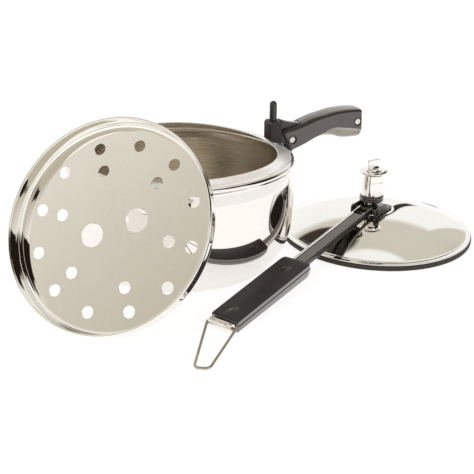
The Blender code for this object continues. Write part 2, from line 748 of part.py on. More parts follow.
def valve_frame():
    """The safety valve's frame: on the dome's surface, square to it."""
    step = 0.001
    fall = (dome_height(VALVE_REACH + step) - dome_height(VALVE_REACH - step)) / (2 * step)
    place = Matrix.Translation((VALVE_REACH, 0, dome_height(VALVE_REACH)))
    return place @ Matrix.Rotation(-math.atan(fall), 4, "Y")


def build_valve(brass, alloy):
    """The safety valve: a brass body through the dome, its soft plug and the nut inside."""
    place = valve_frame()
    low = -VALVE_STEM_LENGTH
    top = VALVE_HEAD_HEIGHT
    edge = VALVE_HEAD_RADIUS * 0.15
    profile = [
        (VALVE_BORE_RADIUS, low),
        (VALVE_STEM_RADIUS, low),
        (VALVE_STEM_RADIUS, FIT_GAP),
        (VALVE_HEAD_RADIUS, FIT_GAP),
        (VALVE_HEAD_RADIUS, top - edge),
        (VALVE_HEAD_RADIUS - edge, top),
        (VALVE_BORE_RADIUS, top),
    ]
    finish_object("valve_body", turned_bmesh(profile, SMALL_STEPS, ring=True), brass, place)
    plug = rod_bmesh(VALVE_BORE_RADIUS - FIT_GAP, low + edge, top - edge, 12)
    finish_object("valve_plug", plug, alloy, place)
    inside = -LID_WALL - 2 * FIT_GAP
    shape = prism_bmesh(hexagon(VALVE_NUT_RADIUS), inside - VALVE_NUT_HEIGHT, inside)
    nut = finish_object("valve_nut", shape, brass, place)
    cut(nut, rod_bmesh(VALVE_STEM_RADIUS + FIT_GAP, -0.01, 0.01, 16), place)


def pivot_height():
    """The height of the lever's pin over the floor."""
    return LID_TOP + FIT_GAP + YOKE_THICKNESS + PIVOT_RISE


def build_yoke(black_steel, zinc):
    """The hub yoke: a base under the vent tube's flange and two cheeks that hold the lever's pin."""
    base_low = LID_TOP + FIT_GAP
    base_top = base_low + YOKE_THICKNESS
    width = YOKE_HALF_WIDTH
    back = -YOKE_BACK
    corners = [(back, -width), (YOKE_BASE_FRONT, -width), (YOKE_BASE_FRONT, width), (back, width)]
    base = prism_bmesh(rounded_polygon(corners, [0.005, 0, 0, 0.005], 4), base_low, base_top)
    yoke = finish_object("hub_yoke", base, black_steel)
    top = pivot_height() + YOKE_EAR_RADIUS - YOKE_EAR_DROP
    front = PIVOT_REACH + YOKE_EAR_RADIUS + YOKE_THICKNESS
    cheek = rounded_polygon(
        [(0.001, base_low), (front, base_low + YOKE_THICKNESS / 2), (front, top), (0.003, top)],
        [0, 0.002, YOKE_EAR_RADIUS - YOKE_EAR_DROP, YOKE_EAR_RADIUS / 2],
        4,
    )
    for side in (-1, 1):
        low = side * width - (YOKE_THICKNESS if side > 0 else 0)
        tool = upright(prism_bmesh(cheek, low, low + YOKE_THICKNESS))
        cut(yoke, tool, operation="UNION")
    cut(yoke, rod_bmesh(TUBE_THREAD_RADIUS + FIT_GAP, base_low - 0.01, base_top + 0.01), vent_place())
    pin_place = cross_matrix(PIVOT_REACH, pivot_height())
    cut(yoke, rod_bmesh(PIVOT_RADIUS + PIN_CLEARANCE, -2 * width, 2 * width, 16), pin_place)
    face = width + FIT_GAP
    end = face + PIVOT_HEAD_HEIGHT
    head = PIVOT_HEAD_RADIUS
    profile = [
        (0, -end),
        (head * 0.7, -end),
        (head, -face - PIVOT_HEAD_HEIGHT * 0.4),
        (head, -face),
        (PIVOT_RADIUS, -face),
        (PIVOT_RADIUS, face),
        (head, face),
        (head, face + PIVOT_HEAD_HEIGHT * 0.4),
        (head * 0.7, end),
        (0, end),
    ]
    finish_object("pivot_pin", turned_bmesh(profile, 16), zinc, pin_place)


def build_vent_tube(satin, zinc):
    """The vent tube through yoke and lid, with its flange, stem and nozzle, and the nut inside."""
    seat = LID_TOP + 2 * FIT_GAP + YOKE_THICKNESS
    low = LID_TOP - TUBE_THREAD_LENGTH
    flange_top = seat + TUBE_FLANGE_HEIGHT
    stem_top = WEIGHT_SEAT_HEIGHT - FIT_GAP
    tip = stem_top + TUBE_NOZZLE_HEIGHT
    taper = TUBE_NOZZLE_RADIUS - TUBE_BORE_RADIUS
    profile = [
        (TUBE_BORE_RADIUS, low),
        (TUBE_THREAD_RADIUS, low),
        (TUBE_THREAD_RADIUS, seat),
        (TUBE_FLANGE_RADIUS, seat),
        (TUBE_FLANGE_RADIUS, flange_top),
        (TUBE_STEM_RADIUS, flange_top),
        (TUBE_STEM_RADIUS, stem_top),
        (TUBE_NOZZLE_RADIUS, stem_top),
        (TUBE_NOZZLE_RADIUS, tip - 2 * taper),
        (TUBE_BORE_RADIUS + taper * 0.3, tip),
        (TUBE_BORE_RADIUS, tip),
    ]
    finish_object("vent_tube", turned_bmesh(profile, SMALL_STEPS, ring=True), satin)
    top = LID_TOP - LID_WALL - FIT_GAP
    nut = finish_object("vent_nut", prism_bmesh(hexagon(TUBE_NUT_RADIUS), top - TUBE_NUT_HEIGHT, top), zinc)
    cut(nut, rod_bmesh(TUBE_THREAD_RADIUS + FIT_GAP, 0, LID_TOP))


def build_weight(steel, black_plastic):
    """The vent weight: a turned body with a flange, a black ring round its foot and a lifting tab."""
    low = WEIGHT_SEAT_HEIGHT
    nose_top = low + WEIGHT_NOSE_HEIGHT
    ring_top = nose_top + WEIGHT_RING_HEIGHT
    body_top = ring_top + WEIGHT_BODY_HEIGHT
    flange_top = body_top + WEIGHT_FLANGE_HEIGHT
    boss_top = flange_top + WEIGHT_BOSS_HEIGHT
    waist = WEIGHT_RING_RADIUS - WEIGHT_RING_WALL - FIT_GAP
    bore = TUBE_NOZZLE_RADIUS + WEIGHT_BORE_CLEARANCE
    bore_top = low + TUBE_NOZZLE_HEIGHT + FIT_GAP
    step = WEIGHT_BODY_RADIUS * 0.02
    edge = WEIGHT_FLANGE_HEIGHT * 0.35
    band = body_top - WEIGHT_BODY_HEIGHT * 0.38
    profile = [
        (0, bore_top + bore * 0.5),
        (bore, bore_top),
        (bore, low),
        (WEIGHT_NOSE_RADIUS, low),
        (WEIGHT_NOSE_RADIUS, nose_top),
        (waist, nose_top),
        (waist, ring_top + FIT_GAP),
        (WEIGHT_BODY_RADIUS - step, ring_top + FIT_GAP),
        (WEIGHT_BODY_RADIUS, ring_top + FIT_GAP + step),
        (WEIGHT_BODY_RADIUS, band),
        (WEIGHT_BODY_RADIUS - step, band + step),
        (WEIGHT_BODY_RADIUS - step, body_top),
        (WEIGHT_FLANGE_RADIUS - edge, body_top),
        (WEIGHT_FLANGE_RADIUS, body_top + edge),
        (WEIGHT_FLANGE_RADIUS, flange_top - edge),
        (WEIGHT_FLANGE_RADIUS - edge, flange_top),
        (WEIGHT_BOSS_RADIUS, flange_top),
        (WEIGHT_BOSS_RADIUS, boss_top),
        (0, boss_top),
    ]
    finish_object("weight_body", turned_bmesh(profile, 24), steel)
    outer = WEIGHT_RING_RADIUS
    inner = outer - WEIGHT_RING_WALL
    ring_low = nose_top - FIT_GAP / 2
    chamfer = WEIGHT_RING_WALL * 0.25
    section = [
        (inner, ring_low),
        (outer - chamfer, ring_low),
        (outer, ring_low + chamfer),
        (outer, ring_top - chamfer),
        (outer - chamfer, ring_top),
        (inner, ring_top),
    ]
    finish_object("weight_ring", turned_bmesh(section, 24, ring=True), black_plastic)
    half = TAB_WIDTH / 2
    tab_low = boss_top + FIT_GAP
    tab_top = tab_low + TAB_HEIGHT
    corners = [(-half * 0.86, tab_low), (half * 0.86, tab_low), (half, tab_top), (-half, tab_top)]
    shape = rounded_polygon(corners, [0, 0, 0.0012, 0.0012], 3)
    turn = Matrix.Rotation(math.radians(TAB_TURN), 4, "Z")
    tab = upright(prism_bmesh(shape, -TAB_THICKNESS / 2, TAB_THICKNESS / 2))
    finish_object("weight_tab", tab, steel, turn)


# Lever


def lever_slope():
    """The angle at which the lever falls from its pin so that the grip's far end lies on the floor."""
    reach = GRIP_START + GRIP_LENGTH
    drop = GRIP_DEPTH_FAR
    length = math.hypot(reach, drop)
    return math.asin(pivot_height() / length) - math.atan2(drop, reach)


def lever_frame():
    """The lever's frame: its origin on the pin, X along the bar towards the grip."""
    place = Matrix.Translation((PIVOT_REACH, 0, pivot_height()))
    return lid_frame() @ place @ Matrix.Rotation(lever_slope(), 4, "Y")


def build_bar(black_steel):
    """The lever bar: a sheet folded down at both sides, with an ear round the pin at each side."""
    top = BAR_TOP_RISE
    low = top - BAR_DEPTH
    ear = BAR_DEPTH - BAR_TOP_RISE
    width = BAR_HALF_WIDTH
    side = [(0.0, -ear), (BAR_LENGTH, low), (BAR_LENGTH, top), (0.0, top)]
    outline = arc((0, 0), ear, 135, 270, 6) + side[1:3]
    corners = [(-width, low), (width, low), (width, top), (-width, top)]
    bend = rounded_polygon(corners, [0, 0, 0.0014, 0.0014], 3)
    rows = [[(x, y, z) for y, z in bend] for x in (-2 * ear, BAR_LENGTH)]
    bar = finish_object("lever_bar", lofted_bmesh(rows), black_steel)
    keep = upright(prism_bmesh(outline, -2 * width, 2 * width))
    cut(bar, keep, operation="INTERSECT")
    inner = width - BAR_SHEET
    hollow = [(-2 * ear, -inner), (BAR_LENGTH + ear, -inner), (BAR_LENGTH + ear, inner), (-2 * ear, inner)]
    cut(bar, prism_bmesh(hollow, 2 * low, top - BAR_SHEET))
    window = [(-2 * ear, -inner), (BAR_SKIN_START, -inner), (BAR_SKIN_START, inner), (-2 * ear, inner)]
    cut(bar, prism_bmesh(rounded_polygon(window, [0, 0.003, 0.003, 0], 4), 2 * low, 2 * top))
    cut(bar, rod_bmesh(PIVOT_RADIUS + PIN_CLEARANCE, -2 * width, 2 * width, 16), cross_matrix(0, 0))
    for reach in grip_screw_reaches():
        hole = rod_bmesh(GRIP_SCREW_RADIUS + PIN_CLEARANCE, -0.01, 0.01, 12)
        cut(bar, hole, Matrix.Translation((reach, 0, 0)))


def grip_screw_reaches():
    """Where the two grip screws stand along the lever."""
    return GRIP_START + GRIP_SCREW_NEAR, GRIP_START + GRIP_LENGTH - GRIP_SCREW_FAR


def grip_half_width(share):
    """The grip's half width, at a share of its length."""
    return GRIP_HALF_WIDTH_NEAR + (GRIP_HALF_WIDTH_FAR - GRIP_HALF_WIDTH_NEAR) * share


def grip_section(reach, half_width, low, high, round_low, round_high):
    """One closed grip section: a box with its lower and upper corners rounded."""
    corners = [(-half_width, low), (half_width, low), (half_width, high), (-half_width, high)]
    outline = rounded_polygon(corners, [round_low, round_low, round_high, round_high], 3)
    return [(reach, y, z) for y, z in outline]


def grip_rows(low_of, high_of, round_low, round_high, ramp):
    """Sections along the grip. The ramp gives each end section its height share and width share."""
    rows = []
    for share, height_share, width_share in ramp:
        low = low_of(share)
        high = high_of(share)
        seam = bar_seam()
        low = seam + (low - seam) * height_share if low < seam else low
        high = seam + (high - seam) * height_share if high > seam else high
        reach = GRIP_START + GRIP_LENGTH * share
        width = grip_half_width(share) * width_share
        rows.append(grip_section(reach, width, low, high, round_low, round_high))
    return rows


def bar_seam():
    """The height in the lever's frame at which the two grip mouldings meet."""
    return BAR_TOP_RISE - GRIP_SEAM_DROP


def grip_underside(share):
    """The height of the grip's underside in the lever's frame, at a share of its length."""
    return -(GRIP_DEPTH_NEAR + (GRIP_DEPTH_FAR - GRIP_DEPTH_NEAR) * share)


def build_grip(bakelite, zinc):
    """The grip's top and bottom mouldings with the channel for the bar, and their screws and nuts."""
    seam = bar_seam()
    cover_top = BAR_TOP_RISE + GRIP_COVER
    edge = GRIP_EDGE_RADIUS
    fine = edge / 4
    ramp = (
        (0.0, 0.72, 0.86),
        (0.025, 0.9, 0.97),
        (0.06, 1.0, 1.0),
        (0.5, 1.0, 1.0),
        (0.97, 1.0, 1.0),
        (1.0, 0.9, 0.97),
    )
    top_rows = grip_rows(lambda s: seam + FIT_GAP, lambda s: cover_top, fine, edge, ramp)
    top = finish_object("grip_top", lofted_bmesh(top_rows), bakelite)
    low_ramp = (
        (0.0, 0.45, 0.86),
        (0.02, 0.72, 0.95),
        (0.05, 0.92, 1.0),
        (0.09, 1.0, 1.0),
        (0.5, 1.0, 1.0),
        (1.0, 1.0, 0.97),
    )
    low_rows = grip_rows(grip_underside, lambda s: seam, edge, fine, low_ramp)
    bottom = finish_object("grip_bottom", lofted_bmesh(low_rows), bakelite)
    slot = BAR_HALF_WIDTH + SLOT_CLEARANCE
    start = GRIP_START - 0.01
    end = BAR_LENGTH + SLOT_CLEARANCE
    channel = [(start, -slot), (end, -slot), (end, slot), (start, slot)]
    bar_low = BAR_TOP_RISE - BAR_DEPTH - FIT_GAP
    for half in (top, bottom):
        cut(half, prism_bmesh(channel, bar_low, BAR_TOP_RISE + FIT_GAP))
    tongue = CLIP_TONGUE_HALF_WIDTH + SLOT_CLEARANCE
    far = GRIP_START + GRIP_LENGTH + 0.01
    mouth = [(end - 0.001, -tongue), (far, -tongue), (far, tongue), (end - 0.001, tongue)]
    tongue_top = BAR_TOP_RISE - BAR_SHEET - FIT_GAP
    tongue_low = tongue_top - CLIP_TONGUE_THICKNESS
    for half in (top, bottom):
        cut(half, prism_bmesh(mouth, tongue_low - FIT_GAP, tongue_top + FIT_GAP))
    for name, reach in zip(("inner", "outer"), grip_screw_reaches()):
        build_grip_screw(name, reach, top, bottom, zinc)


def build_grip_screw(name, reach, top, bottom, zinc):
    """One screw down through the grip, its head in a round recess and its nut in the underside."""
    place = Matrix.Translation((reach, 0, 0))
    cover_top = BAR_TOP_RISE + GRIP_COVER
    floor = cover_top - GRIP_RECESS_DEPTH
    share = (reach - GRIP_START) / GRIP_LENGTH
    under = grip_underside(share)
    cut(top, rod_bmesh(GRIP_RECESS_RADIUS, floor, cover_top + 0.01), place)
    for half in (top, bottom):
        cut(half, rod_bmesh(GRIP_SCREW_RADIUS + PIN_CLEARANCE, 2 * under, 2 * cover_top, 12), place)
    nut_floor = under + GRIP_NUT_HEIGHT + 2 * FIT_GAP
    cut(bottom, prism_bmesh(hexagon(GRIP_NUT_RADIUS + SLOT_CLEARANCE), 2 * under, nut_floor), place)
    head = floor + FIT_GAP
    crown = head + GRIP_HEAD_HEIGHT
    end = nut_floor - FIT_GAP - GRIP_NUT_HEIGHT
    profile = [
        (0, end),
        (GRIP_SCREW_RADIUS, end),
        (GRIP_SCREW_RADIUS, head),
        (GRIP_HEAD_RADIUS, head),
        (GRIP_HEAD_RADIUS, head + GRIP_HEAD_HEIGHT * 0.5),
        (GRIP_HEAD_RADIUS * 0.7, crown),
        (0, crown),
    ]
    screw = finish_object("grip_screw_" + name, turned_bmesh(profile, 16), zinc, place)
    long = GRIP_HEAD_RADIUS * 1.2
    thin = GRIP_HEAD_RADIUS * 0.14
    mouth = [(-long, -thin), (long, -thin), (long, thin), (-long, thin)]
    slot = prism_bmesh(mouth, crown - GRIP_HEAD_HEIGHT * 0.45, 2 * crown)
    cut(screw, slot, place)
    shape = prism_bmesh(hexagon(GRIP_NUT_RADIUS), end + FIT_GAP / 2, end + GRIP_NUT_HEIGHT)
    nut = finish_object("grip_nut_" + name, shape, zinc, place)
    cut(nut, rod_bmesh(GRIP_SCREW_RADIUS + FIT_GAP, end - 0.01, end + 0.01, 12), place)


def loop_axis():
    """Where the wire loop turns, along the lever and up from its middle line."""
    height = BAR_TOP_RISE - BAR_SHEET - FIT_GAP - CLIP_TONGUE_THICKNESS / 2
    return GRIP_START + GRIP_LENGTH + CLIP_STANDOFF, height


def build_clip(steel):
    """The end clip: a tongue held under the bar and an eye rolled round the loop's wire."""
    reach, height = loop_axis()
    tongue_end = reach - CLIP_STANDOFF - CLIP_TONGUE_LENGTH
    half = CLIP_TONGUE_HALF_WIDTH
    low = height - CLIP_TONGUE_THICKNESS / 2
    high = height + CLIP_TONGUE_THICKNESS / 2
    near = reach - CLIP_EYE_RADIUS + CLIP_TONGUE_THICKNESS / 2
    shape = [(tongue_end, -half), (near, -half), (near, half), (tongue_end, half)]
    clip = finish_object("end_clip", prism_bmesh(shape, low, high), steel)
    place = cross_matrix(reach, height)
    cut(clip, rod_bmesh(CLIP_EYE_RADIUS, -CLIP_HALF_WIDTH, CLIP_HALF_WIDTH), place, "UNION")
    cut(clip, rod_bmesh(LOOP_WIRE_RADIUS + PIN_CLEARANCE, -2 * CLIP_HALF_WIDTH, 2 * CLIP_HALF_WIDTH), place)
    hole = rod_bmesh(GRIP_SCREW_RADIUS + PIN_CLEARANCE, -0.01, 0.01, 12)
    cut(clip, hole, Matrix.Translation((grip_screw_reaches()[1], 0, 0)))


def loop_place():
    """The wire loop's place: on its axis in the eye, tipped down until its far end meets the floor."""
    reach, height = loop_axis()
    axis = Matrix.Translation((reach, 0, height))
    rise = (lever_frame() @ axis).to_translation().z - LOOP_WIRE_RADIUS
    fall = math.asin(rise / LOOP_LEFT_REACH)
    return axis @ Matrix.Rotation(fall - lever_slope(), 4, "Y")


def loop_route():
    """The wire's middle line: out of the eye, round the lopsided loop and back in."""
    corners = [
        (0.0, -LOOP_END_GAP / 2),
        (0.0, -LOOP_LEFT_ROOT),
        (LOOP_LEFT_REACH, LOOP_LEFT_SWAY),
        (LOOP_RIGHT_REACH, LOOP_RIGHT_SWAY),
        (0.0, LOOP_RIGHT_ROOT),
        (0.0, LOOP_END_GAP / 2),
    ]
    root = LOOP_ROOT_BEND_RADIUS
    bend = LOOP_BEND_RADIUS
    return rounded_polygon(corners, [0, root, bend, bend, root, 0], 5)


def build_loop(steel):
    """The locking loop: one bent wire whose ends turn in the clip's eye."""
    curve = bpy.data.curves.new("wire_loop", "CURVE")
    curve.dimensions = "3D"
    route = loop_route()
    spline = curve.splines.new("POLY")
    spline.points.add(len(route) - 1)
    for point, (x, y) in zip(spline.points, route):
        point.co = (x, y, 0.0, 1.0)
    curve.bevel_depth = LOOP_WIRE_RADIUS
    curve.bevel_resolution = 2
    curve.use_fill_caps = True
    curve.materials.append(steel)
    loop = bpy.data.objects.new("wire_loop", curve)
    bpy.context.scene.collection.objects.link(loop)
    loop.matrix_world = loop_place()


# Steam plate


def plate_path():
    """The plate's lower outline from its middle out, round the corner, up the wall to a rolled bead."""
    wall = PLATE_RADIUS - PLATE_BEAD
    bend = wall - PLATE_FLAT_RADIUS
    path = [(0.0, -PLATE_WALL)] + arc((PLATE_FLAT_RADIUS, bend - PLATE_WALL), bend, -90, 0, 4)
    path.append((wall, PLATE_HEIGHT - 3 * PLATE_BEAD))
    path.append((PLATE_RADIUS, PLATE_HEIGHT - 2 * PLATE_BEAD))
    path.append((PLATE_RADIUS, PLATE_HEIGHT))
    return path


def plate_frame():
    """The plate's frame: standing on the floor on its lower corner and leaning back on the collar."""
    lean = math.radians(PLATE_LEAN)
    place = math.radians(PLATE_PLACE_AZIMUTH)
    tilt = Matrix.Rotation(math.radians(90) - lean, 4, "Y")
    turn = Matrix.Rotation(math.radians(PLATE_AZIMUTH), 4, "Z") @ tilt
    lowest = max(r * math.cos(lean) - z * math.sin(lean) for r, z in plate_path())
    edge_height = COLLAR_HEIGHT - COLLAR_EDGE_RADIUS - rim_drop(place)
    edge_reach = COLLAR_RADIUS - COLLAR_EDGE_RADIUS
    edge = edge_reach * math.cos(lean) + edge_height * math.sin(lean) + COLLAR_EDGE_RADIUS
    bearing = edge + FIT_GAP + PLATE_WALL
    out = (bearing - lowest * math.sin(lean)) / math.cos(lean)
    center = Vector((out * math.cos(place), out * math.sin(place), lowest))
    return Matrix.Translation(center) @ turn @ Matrix.Rotation(math.radians(PLATE_ROLL), 4, "Z")


def build_plate(steel):
    """The perforated steam plate: a shallow dish with two rings of holes and two finger holes."""
    dish = turned_bmesh(thickened(plate_path(), PLATE_WALL), POT_STEPS)
    plate = finish_object("steam_plate", dish, steel)
    spots = [(PLATE_FINGER_RING, angle, PLATE_FINGER_RADIUS, 24) for angle in (0, 180)]
    for i in range(PLATE_OUTER_HOLES):
        spots.append((PLATE_OUTER_RING, i * 360 / PLATE_OUTER_HOLES, PLATE_HOLE_RADIUS, 12))
    for i in range(PLATE_INNER_HOLES):
        spots.append((PLATE_INNER_RING, (i + 0.5) * 360 / PLATE_INNER_HOLES, PLATE_HOLE_RADIUS, 12))
    for ring, angle, radius, steps in spots:
        a = math.radians(angle)
        place = Matrix.Translation((ring * math.cos(a), ring * math.sin(a), 0))
        cut(plate, rod_bmesh(radius, -3 * PLATE_WALL, 3 * PLATE_WALL, steps), place)


def main():
    """Build the whole cooker."""
    clear_scene()
    steel = material("mirror_steel", (0.86, 0.85, 0.83), 0.08, 1.0)
    satin = material("satin_steel", (0.72, 0.70, 0.67), 0.35, 1.0)
    aluminium = material("aluminium", (0.80, 0.80, 0.80), 0.45, 1.0)
    bakelite = material("black_bakelite", (0.030, 0.026, 0.025), 0.28, 0.0)
    black_steel = material("black_coated_steel", (0.040, 0.037, 0.036), 0.38, 0.0)
    zinc = material("plated_steel", (0.75, 0.73, 0.70), 0.22, 1.0)
    brass = material("brass", (0.80, 0.62, 0.32), 0.30, 1.0)
    alloy = material("soft_alloy", (0.55, 0.55, 0.56), 0.40, 1.0)
    rubber = material("gasket_rubber", (0.060, 0.054, 0.050), 0.60, 0.0)
    build_pot(steel, satin, aluminium)
    build_in(handle_frame(), build_handle, bakelite, black_steel, zinc)
    build_in(lid_frame(), build_lid, steel, rubber)
    build_in(lid_frame(), build_valve, brass, alloy)
    build_in(lid_frame(), build_yoke, black_steel, zinc)
    build_in(lid_frame() @ vent_place(), build_vent_tube, satin, zinc)
    build_in(lid_frame() @ vent_place(), build_weight, steel, black_steel)
    build_in(lever_frame(), build_bar, black_steel)
    build_in(lever_frame(), build_grip, bakelite, zinc)
    build_in(lever_frame(), build_clip, steel)
    build_in(lever_frame(), build_loop, steel)
    build_in(plate_frame(), build_plate, steel)


main()
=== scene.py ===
"""A stainless steel pressure cooker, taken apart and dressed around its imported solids.

The pot stands at the origin. Its lid lies on the right with the lever in front, and the perforated
steam plate leans on the pot's collar. Every length is in metres and every angle in degrees.
"""

import logging
import math
from dataclasses import dataclass
from enum import Enum
from typing import ClassVar

import bmesh
import bpy
import numpy as np
from mathutils import Matrix, Vector


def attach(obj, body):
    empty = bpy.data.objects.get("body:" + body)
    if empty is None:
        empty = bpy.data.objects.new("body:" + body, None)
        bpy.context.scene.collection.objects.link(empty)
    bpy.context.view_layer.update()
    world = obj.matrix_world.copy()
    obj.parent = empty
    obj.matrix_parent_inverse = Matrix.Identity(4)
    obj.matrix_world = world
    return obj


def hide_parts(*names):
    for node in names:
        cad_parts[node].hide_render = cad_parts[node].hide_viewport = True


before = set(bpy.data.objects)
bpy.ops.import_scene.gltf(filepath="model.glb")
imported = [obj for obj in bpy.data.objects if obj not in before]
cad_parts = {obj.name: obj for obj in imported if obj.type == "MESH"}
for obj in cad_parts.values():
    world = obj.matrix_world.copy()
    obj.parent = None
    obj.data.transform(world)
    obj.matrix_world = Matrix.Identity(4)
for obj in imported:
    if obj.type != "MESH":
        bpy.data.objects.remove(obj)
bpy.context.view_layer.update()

LOG = logging.getLogger("cooker")
FIT_GAP = 0.0003
HANDLE_AZIMUTH = 24.0
LEVER_AZIMUTH = -127.0
SMOOTH_ANGLE = 32.0
# How many angles a turned form has: the pot, wide sheet, the weight, small forms, bores and shanks
POT_STEPS, SHEET_STEPS, WEIGHT_STEPS, SMALL_STEPS, BORE_STEPS, SHANK_STEPS = 192, 240, 96, 64, 48, 32
# A length that takes a cutting tool clear of what it cuts
CLEAR = 0.02
# Points nearer than this are one
MERGE_DISTANCE = 1e-6
QUARTER = math.radians(90)


# Plain helpers


def linear(hex_value: str) -> tuple[float, float, float, float]:
    """Turn an sRGB hex value into linear light.

    Args:
        hex_value: six hex digits.

    Returns:
        Red, green, blue and an alpha of one.
    """
    parts = [int(hex_value[i : i + 2], 16) / 255 for i in (0, 2, 4)]
    values = [c / 12.92 if c <= 0.04045 else ((c + 0.055) / 1.055) ** 2.4 for c in parts]
    return (*values, 1.0)


def add_node(tree: bpy.types.NodeTree, kind: str, inputs: dict | None = None, **settings) -> bpy.types.Node:
    """Add a node, set its properties, and fill or link its inputs.

    Args:
        tree: the node tree that gets the node.
        kind: the node's type name.
        inputs: input name or number to a constant, or to the socket that it is linked from.
        settings: properties of the node itself.

    Returns:
        The new node.
    """
    node = tree.nodes.new(kind)
    for name, value in settings.items():
        setattr(node, name, value)
    for key, value in (inputs or {}).items():
        if isinstance(value, bpy.types.NodeSocket):
            tree.links.new(value, node.inputs[key])
        else:
            node.inputs[key].default_value = value
    return node


def arc(center: tuple[float, float], radius: float, start: float, end: float, count: int) -> np.ndarray:
    """Points on a circle: centre plus radius times the cosine and sine of evenly spaced angles.

    Args:
        center: the circle's centre.
        radius: its radius.
        start: the first angle in degrees.
        end: the last angle in degrees.
        count: how many points.

    Returns:
        An array of count points.
    """
    angles = np.radians(np.linspace(start, end, count))
    return np.array(center) + radius * np.stack([np.cos(angles), np.sin(angles)], axis=1)


def rounded(corners: list, count: int = 8, closed: bool = True) -> np.ndarray:
    """Round the corners of a polygon or an open line.

    Each corner becomes an arc that touches both of its sides, so its centre lies on the corner's
    bisector at the radius divided by the sine of half the corner's angle.

    Args:
        corners: for each corner its two coordinates and its radius, nought to keep it sharp.
        count: points on each arc.
        closed: whether the last corner joins the first.

    Returns:
        The rounded outline's points.
    """
    table = np.array(corners, float)
    points, total, out = table[:, :2], len(table), []
    for i, radius in enumerate(table[:, 2]):
        if radius <= 0 or (not closed and i in (0, total - 1)):
            out.append(points[i][None])
            continue
        back = points[i - 1] - points[i]
        ahead = points[(i + 1) % total] - points[i]
        back = back / np.linalg.norm(back)
        ahead = ahead / np.linalg.norm(ahead)
        half = math.acos(float(np.clip(back @ ahead, -1, 1))) / 2
        middle = back + ahead
        center = points[i] + middle / np.linalg.norm(middle) * radius / math.sin(half)
        first = points[i] + back * radius / math.tan(half) - center
        last = points[i] + ahead * radius / math.tan(half) - center
        angles = np.linspace(0, math.atan2(first[0] * last[1] - first[1] * last[0], first @ last), count)
        cos, sin = np.cos(angles), np.sin(angles)
        swept = [first[0] * cos - first[1] * sin, first[0] * sin + first[1] * cos]
        out.append(center + np.stack(swept, axis=1))
    return np.concatenate(out)


def resampled(line: np.ndarray, longest: float) -> np.ndarray:
    """Split a line's segments into equal parts no longer than a limit.

    Args:
        line: the line's points.
        longest: the longest segment to leave.

    Returns:
        The finer line, with every old point kept.
    """
    gaps = np.linalg.norm(np.diff(line, axis=0), axis=1)
    parts = np.maximum(np.ceil(gaps / longest).astype(int), 1)
    pieces = [line[i] + (line[i + 1] - line[i]) * (np.arange(n) / n)[:, None] for i, n in enumerate(parts)]
    return np.concatenate(pieces + [line[-1:]])


def offset(line: np.ndarray, distance: float) -> np.ndarray:
    """Move a profile sideways by a distance, to its left where the distance is positive.

    Each point moves along the sum of its two segments' normals, stretched so that both segments
    keep their distance. No point goes past the axis.

    Args:
        line: the profile's points.
        distance: how far it moves.

    Returns:
        The moved points.
    """
    step = np.diff(line, axis=0)
    step /= np.linalg.norm(step, axis=1)[:, None]
    normal = np.stack([-step[:, 1], step[:, 0]], axis=1)
    corner = np.vstack([normal[:1], normal[:-1] + normal[1:], normal[-1:]])
    corner /= np.linalg.norm(corner, axis=1)[:, None]
    stretch = np.ones(len(line))
    stretch[1:-1] = 1 / np.sum(corner[1:-1] * normal[1:], axis=1)
    moved = line + corner * (distance * stretch)[:, None]
    moved[:, 0] = np.maximum(moved[:, 0], 0)
    return moved


def oblong(low_x: float, low_y: float, high_x: float, high_y: float) -> np.ndarray:
    """The corners of a rectangle, counter-clockwise."""
    return np.array([(low_x, low_y), (high_x, low_y), (high_x, high_y), (low_x, high_y)])


def hexagon(radius: float) -> np.ndarray:
    """The corners of a hexagon with a given radius at its flats' middles."""
    angle = np.arange(6) * math.pi / 3
    return radius / math.cos(math.pi / 6) * np.stack([np.cos(angle), np.sin(angle)], axis=1)


def turn_z(degrees: float) -> Matrix:
    """A turn about the upright axis."""
    return Matrix.Rotation(math.radians(degrees), 4, "Z")


def move(x: float, y: float, z: float) -> Matrix:
    """A shift by x, y and z."""
    return Matrix.Translation((x, y, z))


def crosswise(reach: float, height: float) -> Matrix:
    """A place whose Z axis points along -Y, at a reach along X and a height."""
    return move(reach, 0, height) @ Matrix.Rotation(QUARTER, 4, "X")


@dataclass
class Surface:
    """A set of points and faces, with one material number for each face."""

    points: np.ndarray
    faces: list
    slots: np.ndarray

    def placed(self, matrix: Matrix) -> "Surface":
        """The surface with every point carried by a matrix."""
        m = np.array(matrix)
        return Surface(self.points @ m[:3, :3].T + m[:3, 3], self.faces, self.slots)

    def outward(self) -> "Surface":
        """The surface with its faces turned outward, judged by the sign of its volume.

        Returns:
            The surface, with every face reversed where the volume was negative.
        """
        triangles = np.array([(f[0], f[i], f[i + 1]) for f in self.faces for i in range(1, len(f) - 1)])
        a, b, c = (self.points[triangles[:, k]] for k in range(3))
        if np.einsum("ij,ij->i", a, np.cross(b, c)).sum() >= 0:
            return self
        return Surface(self.points, [tuple(reversed(f)) for f in self.faces], self.slots)


def grid(points: np.ndarray, wrap_rows: bool, wrap_cols: bool, slots: np.ndarray | int = 0) -> Surface:
    """Join a grid of points by quads between neighbouring rows and columns.

    Args:
        points: rows by columns by three.
        wrap_rows: whether the last row joins the first.
        wrap_cols: whether the last column joins the first.
        slots: a material number, or one for each row of faces.

    Returns:
        The grid as a surface.
    """
    rows, cols = points.shape[:2]
    i = np.arange(rows if wrap_rows else rows - 1)[:, None]
    j = np.arange(cols if wrap_cols else cols - 1)[None, :]
    here, below = i * cols, (i + 1) % rows * cols
    left, right = j, (j + 1) % cols
    quads = np.stack(np.broadcast_arrays(here + left, here + right, below + right, below + left), axis=-1)
    numbers = np.broadcast_to(np.asarray(slots).reshape(-1, 1), quads.shape[:2])
    faces = [tuple(q) for q in quads.reshape(-1, 4).tolist()]
    return Surface(points.reshape(-1, 3), faces, numbers.reshape(-1))


